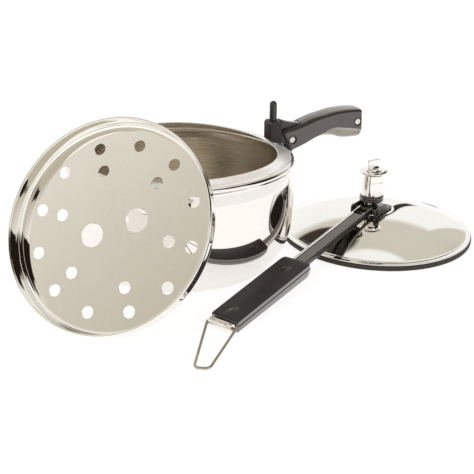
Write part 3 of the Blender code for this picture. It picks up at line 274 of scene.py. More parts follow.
def spun(profile: np.ndarray, steps: int) -> np.ndarray:
    """The points of a profile of (radius, height) about Z: x = r cos a, y = r sin a, z = h."""
    angle = np.arange(steps) / steps * math.tau
    radius, height = profile[:, 0:1], profile[:, 1:2]
    return np.stack([radius * np.cos(angle), radius * np.sin(angle), height + 0 * angle], axis=-1)


def revolve(profile: np.ndarray, steps: int, ring: bool = False, slots: np.ndarray | int = 0) -> Surface:
    """Turn a profile about Z into a surface.

    Args:
        profile: the profile's points.
        steps: how many angles.
        ring: whether the profile closes on itself.
        slots: a material number, or one for each profile segment.

    Returns:
        The turned surface.
    """
    return grid(spun(profile, steps), ring, True, slots).outward()


def rod(radius: float, low: float, high: float, steps: int = SHANK_STEPS) -> Surface:
    """A plain rod about Z, to cut a bore with."""
    return revolve(oblong(0, low, radius, high), steps)


def lofted(sections: np.ndarray) -> Surface:
    """Join closed sections in a row, with a flat face at each end.

    Args:
        sections: sections by points by three.

    Returns:
        The closed surface.
    """
    skin = grid(sections, False, True)
    count = sections.shape[1]
    last = (sections.shape[0] - 1) * count
    faces = skin.faces + [tuple(range(count - 1, -1, -1)), tuple(range(last, last + count))]
    return Surface(skin.points, faces, np.zeros(len(faces), int)).outward()


def slab(outline: np.ndarray, low: float, high: float, edge: float = 0.0002, count: int = 4) -> Surface:
    """A plate with rounded rims: its outline stacked in layers that draw in by a quarter circle.

    Args:
        outline: the closed outline in X and Y, counter-clockwise.
        low: the bottom's height.
        high: the top's height.
        edge: the radius of both rims.
        count: layers in each rim.

    Returns:
        The closed plate.
    """
    step = np.roll(outline, -1, axis=0) - outline
    step /= np.linalg.norm(step, axis=1)[:, None]
    normal = np.stack([step[:, 1], -step[:, 0]], axis=1)
    corner = normal + np.roll(normal, 1, axis=0)
    corner /= np.linalg.norm(corner, axis=1)[:, None]
    corner /= np.maximum(np.sum(corner * normal, axis=1), 0.4)[:, None]
    angle = np.linspace(0, math.pi / 2, count)
    draw, rise = edge * (1 - np.sin(angle)), edge * (1 - np.cos(angle))
    inset = np.concatenate([draw, draw[::-1]])
    height = np.concatenate([low + rise, (high - rise)[::-1]])
    flat = outline[None] - corner[None] * inset[:, None, None]
    layers = np.concatenate([flat, np.broadcast_to(height[:, None, None], (*flat.shape[:2], 1))], axis=2)
    return lofted(layers)


def cutter(outline: np.ndarray, low: float, high: float) -> Surface:
    """A plate with sharp rims, to cut with."""
    return slab(outline, low, high, 0.00001, 2)


def recess(rim: float, floor: float, face: float, lead: float, flare: float, top: float) -> Surface:
    """A cup to sink a screw's head with, its mouth broken by a cone.

    Args:
        rim: the cup's radius.
        floor: its floor's height.
        face: the height of the face that it opens.
        lead: how far below the face the cone starts.
        flare: how much wider the cone gets.
        top: the tool's top.

    Returns:
        The cutting surface.
    """
    wide = rim + flare
    line = [(0, floor), (rim, floor), (rim, face - lead), (wide, face + 0.0004), (wide, top), (0, top)]
    return revolve(np.array(line), SMALL_STEPS)


def upright(surface: Surface) -> Surface:
    """Stand a plate up, so that its outline lies in X and Z and its thickness along -Y."""
    return surface.placed(Matrix.Rotation(QUARTER, 4, "X"))


def tube(path: np.ndarray, radius: float, steps: int = 20) -> Surface:
    """A round wire: circles square to a path that lies in the XY plane, with closed ends.

    Args:
        path: the path's points in X and Y.
        radius: the wire's radius.
        steps: points round the wire.

    Returns:
        The closed wire.
    """
    ahead = np.gradient(path, axis=0)
    ahead /= np.linalg.norm(ahead, axis=1)[:, None]
    side = np.stack([-ahead[:, 1], ahead[:, 0]], axis=1)
    angle = np.arange(steps) / steps * math.tau
    across = path[:, None] + side[:, None] * (radius * np.cos(angle))[None, :, None]
    up = np.broadcast_to((radius * np.sin(angle))[None, :, None], (*across.shape[:2], 1))
    return lofted(np.concatenate([across, up], axis=2))


def faces_along(skin: Surface, rows: int, points: int) -> np.ndarray:
    """The material numbers of a lofted skin as a table: one row per gap between sections."""
    return skin.slots[: (rows - 1) * points].reshape(rows - 1, points)


def shade(mesh: bpy.types.Mesh) -> None:
    """Shade a mesh smooth, with its sharper edges kept hard."""
    mesh.shade_smooth()
    mesh.set_sharp_from_angle(angle=math.radians(SMOOTH_ANGLE))


def mesh_from(name: str, surfaces: list[Surface]) -> bpy.types.Mesh:
    """Put surfaces into one mesh, merge the points at poles and seams, and shade it smooth.

    Args:
        name: the mesh's name.
        surfaces: the closed surfaces in it.

    Returns:
        The mesh.
    """
    start, faces = 0, []
    for surface in surfaces:
        faces += [tuple(v + start for v in f) for f in surface.faces]
        start += len(surface.points)
    mesh = bpy.data.meshes.new(name)
    mesh.from_pydata(np.concatenate([s.points for s in surfaces]).tolist(), [], faces)
    slots = np.concatenate([s.slots for s in surfaces])
    mesh.polygons.foreach_set("material_index", slots.astype(np.int32))
    bm = bmesh.new()
    bm.from_mesh(mesh)
    bmesh.ops.remove_doubles(bm, verts=bm.verts, dist=MERGE_DISTANCE)
    bm.to_mesh(mesh)
    bm.free()
    shade(mesh)
    return mesh


def carve(obj: bpy.types.Object, tools: list[Surface], keep: bool = False) -> None:
    """Cut closed surfaces out of an object by exact Booleans, one after another.

    Args:
        obj: the object that is cut, at the origin.
        tools: the cutting surfaces in the same place.
        keep: whether to keep only what lies inside the tools instead.
    """
    for surface in tools:
        tool = bpy.data.objects.new("tool", mesh_from("tool", [surface]))
        bpy.context.scene.collection.objects.link(tool)
        modifier = obj.modifiers.new("cut", "BOOLEAN")
        modifier.operation = "INTERSECT" if keep else "DIFFERENCE"
        modifier.solver = "EXACT"
        modifier.object = tool
        bpy.context.view_layer.update()
        shaped = bpy.data.meshes.new_from_object(obj.evaluated_get(bpy.context.evaluated_depsgraph_get()))
        obj.modifiers.clear()
        obj.data = shaped
        bpy.data.objects.remove(tool, do_unlink=True)
    bm = bmesh.new()
    bm.from_mesh(obj.data)
    bmesh.ops.remove_doubles(bm, verts=bm.verts, dist=2 * MERGE_DISTANCE)
    bmesh.ops.dissolve_degenerate(bm, edges=bm.edges, dist=MERGE_DISTANCE)
    bmesh.ops.holes_fill(bm, edges=bm.edges, sides=0)
    bm.to_mesh(obj.data)
    bm.free()
    shade(obj.data)


# Finishes

# A finish's broad patches per metre, the range that the two noises' product mostly keeps to, and
# the strength of its relief
PATCH_SCALE, GRAIN_LOW, GRAIN_HIGH, RELIEF_STRENGTH = 26.0, 0.12, 0.42, 0.6


class Grain(Enum):
    """How a finish's fine marks run."""

    CLOUDED = "soft patches in no direction"
    TURNED = "fine rings about the upright axis, as left by a lathe or a spinning brush"
    MOULDED = "the faint orange peel of a moulded surface"
    WIRE = "fine lines drawn along a wire"


@dataclass(frozen=True)
class Finish:
    """A finish: what the real material is, and how it looks."""

    name: str
    color: str
    second: str
    metallic: float
    roughness: float
    spread: float
    grain: Grain
    pitch: float
    relief: float
    coat: float = 0.0
    coat_ior: float = 1.5
    coat_roughness: float = 0.08

    def build(self) -> bpy.types.Material:
        """Make the node material.

        A noise at the finish's pitch, times a broad one of some 40 mm, mixes its two colours and
        moves its roughness by its spread. The fine noise alone gives its relief. On a turned finish
        it is read at (radius, height), so that its marks run round the axis.

        Returns:
            The material.
        """
        mat = bpy.data.materials.new(self.name)
        mat.use_nodes = True
        tree = mat.node_tree
        shader = tree.nodes["Principled BSDF"]
        shader.inputs["Metallic"].default_value = self.metallic
        shader.inputs["Coat Weight"].default_value = self.coat
        shader.inputs["Coat IOR"].default_value = self.coat_ior
        shader.inputs["Coat Roughness"].default_value = self.coat_roughness
        place = add_node(tree, "ShaderNodeTexCoord").outputs["Object"]
        vector = self.turned(tree, place) if self.grain is Grain.TURNED else place
        marks = {"Vector": vector, "Scale": 1 / self.pitch, "Detail": 3.0}
        fine = add_node(tree, "ShaderNodeTexNoise", marks)
        patches = {"Vector": place, "Scale": PATCH_SCALE, "Detail": 2.0}
        broad = add_node(tree, "ShaderNodeTexNoise", patches)
        both = add_node(
            tree, "ShaderNodeMath", {0: fine.outputs["Fac"], 1: broad.outputs["Fac"]}, operation="MULTIPLY"
        )
        span = {"Value": both.outputs[0], "From Min": GRAIN_LOW, "From Max": GRAIN_HIGH}
        level = add_node(tree, "ShaderNodeMapRange", span).outputs["Result"]
        colors = {"Factor": level, 6: linear(self.color), 7: linear(self.second)}
        tone = add_node(tree, "ShaderNodeMix", colors, data_type="RGBA")
        tree.links.new(tone.outputs[2], shader.inputs["Base Color"])
        low, high = self.roughness - self.spread, self.roughness + self.spread
        rough = add_node(tree, "ShaderNodeMapRange", {"Value": level, "To Min": low, "To Max": high})
        tree.links.new(rough.outputs["Result"], shader.inputs["Roughness"])
        if self.relief > 0:
            raised = {"Height": fine.outputs["Fac"], "Distance": self.relief, "Strength": RELIEF_STRENGTH}
            bump = add_node(tree, "ShaderNodeBump", raised)
            tree.links.new(bump.outputs["Normal"], shader.inputs["Normal"])
        return mat

    def turned(self, tree: bpy.types.NodeTree, vector: bpy.types.NodeSocket) -> bpy.types.NodeSocket:
        """Read a place as (radius, height, a little of the angle), so that marks run in rings.

        Args:
            tree: the material's node tree.
            vector: the Object coordinates.

        Returns:
            The vector to read the noise at.
        """
        parts = add_node(tree, "ShaderNodeSeparateXYZ", {0: vector})
        x, y, z = (parts.outputs[k] for k in range(3))
        flat = add_node(tree, "ShaderNodeCombineXYZ", {0: x, 1: y}).outputs[0]
        radius = add_node(tree, "ShaderNodeVectorMath", {0: flat}, operation="LENGTH").outputs["Value"]
        angle = add_node(tree, "ShaderNodeMath", {0: y, 1: x}, operation="ARCTAN2").outputs[0]
        slow = add_node(tree, "ShaderNodeMath", {0: angle, 1: self.pitch * 2}, operation="MULTIPLY")
        return add_node(tree, "ShaderNodeCombineXYZ", {0: radius, 1: z, 2: slow.outputs[0]}).outputs[0]


# Each finish: name, its two colours, metallic, roughness and its spread, grain, its pitch and relief,
# and where it has one, the coat's weight, IOR and roughness

# Mirror-polished 18/8 stainless: nearly clear reflections, softened a little by the buffing wheel
POLISHED = Finish("polished_stainless", "F4F0EC", "F0ECE7", 1.0, 0.045, 0.010, Grain.CLOUDED, 0.0040, 0.0)
# The plate and lid are bought as bright sheet, rolled smoother than the buffed pot
BRIGHT_SHEET = Finish(
    "bright_stainless_sheet", "F5F3EE", "F1EFE9", 1.0, 0.035, 0.008, Grain.CLOUDED, 0.0040, 0.0)
# The collar's inner slope is finished on a fine belt: its scratches scatter light as a pale bloom
SATIN = Finish("satin_stainless_collar", "FAF8F4", "F4F1EC", 0.65, 0.30, 0.03, Grain.CLOUDED, 0.0030, 0.0)
# The pot's inside is left brushed by a spinning belt: rings about 0.6 mm apart blur what they mirror
BRUSHED = Finish(
    "brushed_stainless_inside", "F4EEE4", "DED4C5", 1.0, 0.27, 0.05, Grain.TURNED, 0.0006, 0.00004)
# Pressed aluminium disc inside the base, dull and pale
ALUMINIUM = Finish("pressed_aluminium", "D9D9D7", "C6C6C4", 1.0, 0.42, 0.06, Grain.CLOUDED, 0.001, 0.00002)
# Compression-moulded phenolic: brown-black with a soft shine and the mould's faint orange peel
BAKELITE = Finish(
    "moulded_bakelite", "30211D", "3B2B25", 0.0, 0.34, 0.04, Grain.MOULDED, 0.0011, 0.00002, 1.0, 1.68, 0.16)
# Painted shade: the same phenolic, nearly black, with hardly any shine left, for the handle's edge and near
# end, the rim block and the grip's top
SHADED_BAKELITE = Finish(
    "bakelite_painted_shade", "211B19", "2C2421", 0.0, 0.50, 0.05, Grain.MOULDED, 0.0011, 0.00002)
# Painted sheen: the same phenolic, paler and shinier, for the grip's sides, which mirror the white floor
SHEEN_BAKELITE = Finish(
    "bakelite_painted_sheen", "372C22", "43372B", 0.0, 0.30, 0.04, Grain.MOULDED, 0.0011, 0.00002, 1.0, 2.3, 0.14)
# Painted reflection: the handle's belly in the same phenolic, painted pale grey to stand in for the white
# floor mirrored in it
FLOOR_REFLECTION_BAKELITE = Finish(
    "bakelite_painted_floor_reflection", "CBC3BA", "B0A89F", 0.0, 0.36, 0.05, Grain.MOULDED, 0.0011, 0.00002, 1.0, 1.7, 0.16)
# Pressed steel with a black stoved coating, a little grained
BLACK_STEEL = Finish(
    "stoved_black_steel", "1A1512", "26201C", 0.0, 0.36, 0.05,
    Grain.MOULDED, 0.0007, 0.00002, 1.0, 1.38, 0.22)
# Painted sheen: the bar's top in the same coated steel, painted a lighter grey as it mirrors the bright room
# above
TOP_SHEEN_COAT = Finish("stoved_steel_painted_top_sheen", "66605C", "76706B", 0.0, 0.42, 0.05, Grain.CLOUDED, 0.0012, 0.00001)
# Painted highlight: a near-white strip along one rounded edge of the bar's top, where the fold catches the
# light
EDGE_HIGHLIGHT = Finish("stoved_steel_painted_edge_highlight", "F2EFEB", "E0DCD7", 0.20, 0.34, 0.06, Grain.CLOUDED, 0.0009, 0.0)
# Nickel plate over turned steel: bright, a little uneven
NICKEL = Finish("nickel_plated_steel", "E4DFD6", "CFC9BF", 1.0, 0.16, 0.04, Grain.CLOUDED, 0.0007, 0.00001)
# Nitrile rubber moulding, matt with a dusty bloom
RUBBER = Finish(
    "moulded_nitrile_rubber", "2E2823", "3B342D", 0.0, 0.58, 0.06, Grain.MOULDED, 0.0006, 0.00002)
# Free-cutting brass, browned by steam
BRASS = Finish("tarnished_brass", "6B5C3C", "51452D", 1.0, 0.26, 0.05, Grain.CLOUDED, 0.0006, 0.00001)
# The valve's soft plug: cast low-melting alloy, grey
SOFT_ALLOY = Finish("cast_soft_alloy", "B5B5B4", "9C9C9B", 1.0, 0.45, 0.08, Grain.CLOUDED, 0.0006, 0.00002)
# Spring wire, bright drawn
DRAWN_WIRE = Finish("bright_drawn_wire", "C2BCB0", "A39C90", 1.0, 0.18, 0.04, Grain.WIRE, 0.0005, 0.0)


class Workshop:
    """Holds the built materials and turns surfaces into finished pieces."""

    def __init__(self) -> None:
        """Start with no material built."""
        self.built: dict[str, bpy.types.Material] = {}
        self.count = 0

    def material(self, finish: Finish) -> bpy.types.Material:
        """The material of a finish, built on its first use."""
        if finish.name not in self.built:
            self.built[finish.name] = finish.build()
        return self.built[finish.name]

    def raw(self, name: str, surfaces: list[Surface], finishes: list[Finish]) -> bpy.types.Object:
        """Make an object from surfaces, with its materials, not yet riding on a body.

        Args:
            name: the piece's name.
            surfaces: its closed surfaces, already in place.
            finishes: its finishes in the order of the surfaces' material numbers.

        Returns:
            The object, at the origin.
        """
        obj = bpy.data.objects.new(name, mesh_from(name, surfaces))
        bpy.context.scene.collection.objects.link(obj)
        for finish in finishes:
            obj.data.materials.append(self.material(finish))
        return obj

    def fit(self, obj: bpy.types.Object, body: str, slot: str, *nodes: str) -> None:
        """Let a piece ride on a body in place of CAD nodes, and report it.

        Args:
            obj: the piece.
            body: the body that it moves with.
            slot: the record's material slot; not used.
            nodes: the nodes that it stands for.
        """
        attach(obj, body)
        if nodes:
            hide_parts(*nodes)
        self.count += 1
        LOG.info("%s rides on %s, %d faces", obj.name, body, len(obj.data.polygons))

    def keep(self, node: str, finish: Finish) -> None:
        """Give a CAD node that stays in view its finish."""
        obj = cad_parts[node]
        obj.data.materials.clear()
        obj.data.materials.append(self.material(finish))
        LOG.info("%s keeps its solid, in %s", node, finish.name)


class SubAssembly:
    """What all sub-assemblies share: one workshop, and the body that their pieces ride on."""

    shop: ClassVar[Workshop] = Workshop()
    body: ClassVar[str] = ""

    def make(self, name: str, surfaces: list[Surface], finishes: list[Finish], slot: str, node: str,
             tools: list[Surface] | None = None, body: str = "") -> None:
        """Make a piece, cut it, and let it ride in place of a node.

        Args:
            name: the piece's name.
            surfaces: its closed surfaces, in place.
            finishes: its finishes in the order of the material numbers.
            slot: the record's material slot, handed on to fit, which doesn't use it.
            node: the node that it stands for.
            tools: what is cut out of it, in place.
            body: the body that it rides on, if not the sub-assembly's own.
        """
        obj = self.shop.raw(name, surfaces, finishes)
        if tools:
            carve(obj, tools)
        self.shop.fit(obj, body or self.body, slot, node)


@dataclass(frozen=True)
class Screw:
    """A slotted screw: its shank and point, its crowned head, the slot across it, and its angles."""

    shank: float
    point: float
    rim: float
    edge: float
    slot_half: float
    slot_floor: float
    steps: int

    def solid(self, end: float, head: float) -> Surface:
        """The screw about Z, from its end up to its head's seat and over the head."""
        line = [(0, end, 0), (self.shank, end, self.point), (self.shank, head, 0), (self.rim, head, 0.0001),
                (self.rim, head + self.edge, 0.0003), (0, head + self.edge + 0.0003, 0)]
        return revolve(rounded(line, 5), self.steps)

    def slot(self, head: float) -> Surface:
        """The tool that cuts the slot, right across the head."""
        half = 2 * self.rim
        outline = oblong(-half, -self.slot_half, half, self.slot_half)
        return cutter(outline, head + self.slot_floor, head + CLEAR / 2)


# The pot


@dataclass
class Pot(SubAssembly):
    """The pot's shell and its layered base."""

    body: ClassVar[str] = "pot"
    radius: float = 0.098
    wall: float = 0.0015
    corner_width: float = 0.0165
    corner_height: float = 0.0500
    corner_turn: float = 75.0
    shoulder: float = 0.0792
    neck_radius: float = 0.0950
    neck: float = 0.0846
    collar_radius: float = 0.0982
    collar: float = 0.0908
    collar_edge: float = 0.0034
    dish_width: float = 0.0066
    dish_bend: float = 0.0080
    mouth_radius: float = 0.0846
    mouth: float = 0.0939
    oval: float = 0.0015
    dip: float = 0.0020
    base_height: float = 0.0052
    base_radius: float = 0.0856
    base_draft: float = 0.0020
    cover_wall: float = 0.0008

    def shaped(self, points: np.ndarray) -> np.ndarray:
        """Dip the collar at the handle and make the mouth oval.

        The wave is the cosine of twice the angle from the handle. Above the shoulder a point drops
        by the dip times the wave, growing up to the neck. Inside the neck's radius it also moves in
        by the oval times the wave, growing up to the mouth.

        Args:
            points: the turned shell's points.

        Returns:
            The shaped points.
        """
        x, y, z = points.T
        radius = np.maximum(np.hypot(x, y), 1e-9)
        wave = np.cos(2 * (np.arctan2(y, x) - math.radians(HANDLE_AZIMUTH)))
        share = np.clip((z - self.shoulder) / (self.neck - self.shoulder), 0, 1)
        inner = self.neck_radius - self.wall
        inward = np.clip((inner - radius) / (inner - self.mouth_radius), 0, 1) * (z > self.shoulder)
        scale = 1 - self.oval * wave * inward / radius
        return np.stack([x * scale, y * scale, z - self.dip * wave * share], axis=1)

    def outline(self) -> np.ndarray:
        """The outer path, from the middle of the bottom up to the mouth's lip.

        The lower wall is a quarter of an ellipse, cut off where it meets the base.

        Returns:
            The path's (radius, height) points.
        """
        edge = self.collar_edge
        low = self.base_height + self.corner_height * math.sin(math.radians(self.corner_turn))
        bend = arc((0, 0), 1.0, -self.corner_turn, 0, 26) * (self.corner_width, self.corner_height)
        bend += (self.radius - self.corner_width, low)
        upper = rounded([
            (self.radius, low, 0),
            (self.radius, self.shoulder - 0.002, 0.006),
            ((self.radius + self.neck_radius) / 2, (self.shoulder + self.neck) / 2, 0),
            (self.neck_radius - 0.0003, self.neck + 0.0010, 0.0022),
            (self.collar_radius, self.collar - edge - 0.0009, 0.0009),
            (self.collar_radius, self.collar - 0.0001, edge),
            (self.mouth_radius + self.dish_width, self.collar - 0.0003, self.dish_bend),
            (self.mouth_radius, self.mouth, 0),
        ], 14, closed=False)
        return resampled(np.concatenate([[(0.0, self.base_height)], bend[:-1], upper]), 0.0030)

    def build(self) -> None:
        """Build the shell: polished outside, satin on the collar's slope and brushed inside."""
        outer = self.outline()
        inner = offset(outer, self.wall)
        across = inner[-1] - outer[-1]
        bulge = np.array([across[1], -across[0]]) * 0.5
        bulge *= -np.sign(bulge[0])
        angle = np.linspace(0, math.pi, 9)[1:-1, None]
        lip = (outer[-1] + inner[-1]) / 2 - across / 2 * np.cos(angle) + bulge * np.sin(angle)
        profile = np.concatenate([outer, lip, inner[::-1]])
        slots = np.zeros(len(profile) - 1, int)
        slots[len(outer) + len(lip) - 3 :] = 1
        radius, height = profile[:-1].T
        slope = (height > self.collar - 0.0004) & (radius < self.collar_radius - self.collar_edge)
        slots[slope & (slots == 0)] = 2
        shell = revolve(profile, POT_STEPS, slots=slots)
        shell = Surface(self.shaped(shell.points), shell.faces, shell.slots)
        self.make("pot_shell_polished", [shell], [POLISHED, BRUSHED, SATIN], "mirror_steel", "pot_shell")
        self.base()

    def base(self) -> None:
        """Build the base's pressed cover and the disc that shows as a line above it."""
        wall = self.cover_wall
        top = self.base_height - FIT_GAP / 5
        foot = self.base_radius - self.base_draft
        path = rounded([(0, 0, 0), (foot, 0, 2 * wall), (self.base_radius, top, 0)], 10, closed=False)
        path = resampled(path, 0.004)
        cover = revolve(np.concatenate([path, offset(path, wall)[::-1]]), POT_STEPS)
        self.make("base_cover_polished", [cover], [POLISHED], "satin_steel", "base_cover")
        rim, low = foot - 2 * wall, wall + FIT_GAP
        core = rounded([(0, low, 0), (rim, low, 0.0006), (rim, top, 0.0004), (0, top, 0)], 5)
        self.make("base_core_disc", [revolve(core, POT_STEPS)], [ALUMINIUM], "aluminium", "base_core")


POT = Pot()


# The pot's handle


@dataclass
class PotHandle(SubAssembly):
    """The bakelite handle in two halves, its bracket, the rim block and the post."""

    body: ClassVar[str] = "pot"
    split: float = 0.0003
    screw: Screw = Screw(0.0018, 0.0004, 0.0027, 0.0009, 0.0004, 0.0006, 48)
    screw_bore: float = 0.0022
    recess_radius: float = 0.0040
    recess_depth: float = 0.0016
    nut_pocket: float = 0.0037
    nut_depth: float = 0.0030
    crown: float = 0.0011
    end_round: float = 0.0010
    web: float = 0.0080
    web_half: float = 0.0042
    crest: float = 0.1112
    post_radius: float = 0.0033
    post_top: float = 0.1282
    post_depth: float = 0.0090
    block_length: float = 0.0098
    block_half: float = 0.0070
    block_top: float = 0.1105
    edge_turn: float = 75.0
    web_past: float = 0.0032
    flange_reach: float = 0.0020
    web_foot: float = 0.0560
    web_flange: float = 0.0745
    flange_width: float = 0.0300
    flange_wall: float = 0.0022
    flange_low: float = 0.0520
    flange_high: float = 0.0735
    overhang: float = 0.0008
    bevel: float = 0.0018
    crease_angle: float = 18.0
    step: float = 0.0003
    # Each cross screw: its node, its reach and height, and the handle's half width there
    screws: tuple = (("inner", (0.1030, 0.0930), 0.0095), ("outer", (0.1697, 0.1028), 0.0107))
    # Each section: top reach and height, bottom reach, crease height, drop of the belly, half width
    sections: tuple = (
        (0.0936, 0.1022, 0.1022, 0.0836, 0.0008, 0.0094),
        (0.1120, 0.1060, 0.1145, 0.0880, 0.0012, 0.0098),
        (0.1275, 0.1107, 0.1270, 0.0934, 0.0022, 0.0100),
        (0.1450, 0.1143, 0.1445, 0.0996, 0.0086, 0.0104),
        (0.1580, 0.1152, 0.1570, 0.0985, 0.0110, 0.0108),
        (0.1680, 0.1149, 0.1670, 0.0968, 0.0102, 0.0108),
        (0.1738, 0.1142, 0.1750, 0.0951, 0.0085, 0.0104),
    )
    # The hollow line on top of the bracket's web: reach, height and bend radius
    cradle: tuple = ((0.0990, 0.1092, 0.004), (0.1035, 0.1078, 0.008), (0.1075, 0.1071, 0.008),
                     (0.1130, 0.1062, 0.008), (0.1180, 0.1062, 0.006))

    def place(self) -> Matrix:
        """The handle's place: X out along it from the pot's axis."""
        return turn_z(HANDLE_AZIMUTH)

    def stations(self, count: int) -> np.ndarray:
        """Read the sections along a smooth cubic curve through them.

        Args:
            count: how many stations.

        Returns:
            One row for each station.
        """
        table = np.array(self.sections)
        slope = np.gradient(table, axis=0)
        t = np.linspace(0, len(table) - 1, count)
        i = np.minimum(t.astype(int), len(table) - 2)
        s = (t - i)[:, None]
        return (
            table[i] * (2 * s**3 - 3 * s**2 + 1)
            + slope[i] * (s**3 - 2 * s**2 + s)
            + table[i + 1] * (3 * s**2 - 2 * s**3)
            + slope[i + 1] * (s**3 - s**2)
        )

    def half(self, side: int) -> Surface:
        """One half of the handle: a crowned top, a flat side, and a belly that starts at a crease.

        Below the crease the belly is a piece of an ellipse: sideways = w cos t / cos a and height =
        crease - drop (sin t - sin a) / (1 - sin a), for t from the crease angle a to a right angle.

        Args:
            side: -1 for the half towards the viewer, 1 for the other.

        Returns:
            The closed half.
        """
        stations = self.stations(90)
        share = np.linspace(0, 1, len(stations))
        ease = np.minimum(np.minimum(share / 0.022, (1 - share) / 0.022), 1)
        draw = self.end_round * (1 - np.sqrt(np.clip(1 - (1 - ease) ** 2, 0, 1)))
        start = math.radians(self.crease_angle)
        turn = np.linspace(start, math.pi / 2, 16)
        fall = (np.sin(turn) - math.sin(start)) / (1 - math.sin(start))
        rows = []
        for (top_x, top, low_x, crease, drop, width), inset in zip(stations, draw):
            top, width, keel = top - inset, width - inset, crease - drop + inset
            upper = rounded([
                (self.split / 2, top, 0),
                (width * 0.62, top - self.crown * 0.30, 0.010),
                (width, top - self.crown, 0.0020),
                (width, crease, 0.00015),
                (width - self.step, crease - self.step * 0.5, 0),
            ], 9, closed=False)
            sideways = np.maximum((width - self.step) * np.cos(turn) / math.cos(start), self.split / 2)
            belly = np.stack([sideways, crease - self.step * 0.5 - (drop - inset) * fall], axis=1)[1:]
            line = np.concatenate([upper, belly])
            depth = (top - line[:, 1]) / (top - keel)
            rows.append(np.stack([top_x + (low_x - top_x) * depth, side * line[:, 0], line[:, 1]], axis=1))
        skin = lofted(np.array(rows))
        band = faces_along(skin, len(rows), len(line))
        # The belly below the crease takes the pale painted reflection of the floor
        band[:, len(upper) - 1 : -1] = 1
        # The rounded edge and the top's end beside the pot lie in shade, bounded by a slanting line
        row, column = np.indices(band.shape)
        edge_start, edge_end, shade_rows = 11, 18, 16
        band[:, edge_start:edge_end] = 2
        band[(column < edge_start) & (row < shade_rows + 2 * column)] = 2
        return skin

    def over_collar(self, reach: float) -> float:
        """The height just clear of the collar's sloping top, at a reach along the handle.

        Args:
            reach: the distance from the pot's axis.

        Returns:
            The height on the straight line from the mouth to the collar's rounded edge, plus a gap.
        """
        turn = math.radians(self.edge_turn)
        edge_reach = POT.collar_radius - POT.collar_edge * (1 - math.cos(turn))
        edge_height = POT.collar - POT.collar_edge * (1 - math.sin(turn))
        mouth_reach = POT.mouth_radius - POT.oval
        slope = (edge_height - POT.mouth) / (edge_reach - mouth_reach)
        return POT.mouth - POT.dip + slope * (reach - mouth_reach) + 2 * FIT_GAP

    def web_outline(self, extra: float) -> np.ndarray:
        """The bracket's web in reach and height, grown by a margin.

        Args:
            extra: the margin.

        Returns:
            The closed outline, counter-clockwise.
        """
        near, far = (spot for _, spot, _ in self.screws)
        half = self.web_half
        middle = ((near[0] + far[0]) / 2, (near[1] + far[1]) / 2 + half)
        wall = POT.collar_radius + 3 * FIT_GAP
        nose = POT.mouth_radius + self.block_length - self.overhang + FIT_GAP
        flange, end = wall + self.flange_reach + extra, far[0] + self.web_past + extra
        return rounded([
            (wall - extra, self.web_foot, 0),
            (wall - extra, self.over_collar(wall) - extra, 0),
            (nose - extra, self.over_collar(nose) - extra, 0),
            (nose - extra, self.crest + extra, 0.0008),
            *((reach, height + extra, bend) for reach, height, bend in self.cradle),
            (middle[0], middle[1] + half + extra, 0),
            (end, far[1] + half + extra, 0.001),
            (end, far[1] - half - extra, 0.001),
            (middle[0], middle[1] - half - extra, 0),
            (near[0] + 2 * half, near[1] - half - extra, 0.004),
            (flange, self.web_flange, 0.003),
            (flange, self.web_foot, 0),
        ], 6)[::-1]

    def build(self) -> None:
        """Build the halves, the bracket, the block, the post and the screws."""
        place = self.place()
        slot_half = self.web / 2 + FIT_GAP
        slot = upright(cutter(self.web_outline(0.0004), -slot_half, slot_half)).placed(place)
        for name, side in (("right", -1), ("left", 1)):
            tools = [slot]
            for _, spot, width in self.screws:
                across = place @ crosswise(*spot)
                tools.append(rod(self.screw_bore, -0.03, 0.03).placed(across))
                if side < 0:
                    floor = width - self.recess_depth
                    pocket = recess(self.recess_radius, floor, width, 0.0004, 0.0006, CLEAR)
                else:
                    pocket = cutter(hexagon(self.nut_pocket), -CLEAR, self.nut_depth - width)
                tools.append(pocket.placed(across))
            # Plain phenolic, the belly's painted floor reflection, and the painted shade of the edge and near
            # end
            finishes = [BAKELITE, FLOOR_REFLECTION_BAKELITE, SHADED_BAKELITE]
            half = self.half(side).placed(place)
            self.make(f"handle_{name}_moulding", [half], finishes, "bakelite", f"handle_{name}_half", tools)
        self.bracket()
        self.post()
        for node, spot, width in self.screws:
            across, head = place @ crosswise(*spot), width - self.recess_depth + FIT_GAP
            solid = self.screw.solid(FIT_GAP - width, head).placed(across)
            self.make(f"handle_screw_{node}_plated", [solid], [NICKEL], "plated_steel",
                      f"handle_screw_{node}", [self.screw.slot(head).placed(across)])
            self.shop.keep(f"handle_nut_{node}", NICKEL)

    def bracket(self) -> None:
        """Build the black steel bracket: a web between the halves and a flange curved round the pot."""
        web = upright(slab(self.web_outline(0.0), -self.web / 2, self.web / 2, 0.0006))
        span = math.degrees(math.asin(self.flange_width / 2 / POT.radius))
        inside = POT.radius + FIT_GAP
        outer = arc((0, 0), inside + self.flange_wall, -span, span, 24)
        outline = np.concatenate([outer, arc((0, 0), inside, span, -span, 24)])
        flange = slab(outline, self.flange_low, self.flange_high, 0.0005)
        surfaces = [part.placed(self.place()) for part in (web, flange)]
        self.make("handle_bracket_coated", surfaces, [BLACK_STEEL], "black_steel", "handle_bracket")

    def post(self) -> None:
        """Build the block on the rim, with the shoulders of its clamp, and the round-topped post."""
        inner = POT.mouth_radius - POT.oval - self.overhang
        outer = inner + self.block_length + POT.oval - FIT_GAP
        top, bevel = self.block_top, self.bevel
        seat = self.over_collar(inner + bevel)
        body = rounded([
            (inner, seat + bevel, 0.0006),
            (inner + bevel, seat, 0.0006),
            (outer, self.over_collar(outer), 0.0006),
            (outer, top, 0.0008),
            (inner + bevel, top, 0.0010),
            (inner, top - bevel, 0.0010),
        ], 6)
        block = upright(slab(body, -self.block_half, self.block_half, 0.0004, 6)).placed(self.place())
        radius, low, crown = self.post_radius, top - self.post_depth, self.post_top - self.post_radius
        axis = self.place() @ move((inner + outer) / 2, 0, 0)
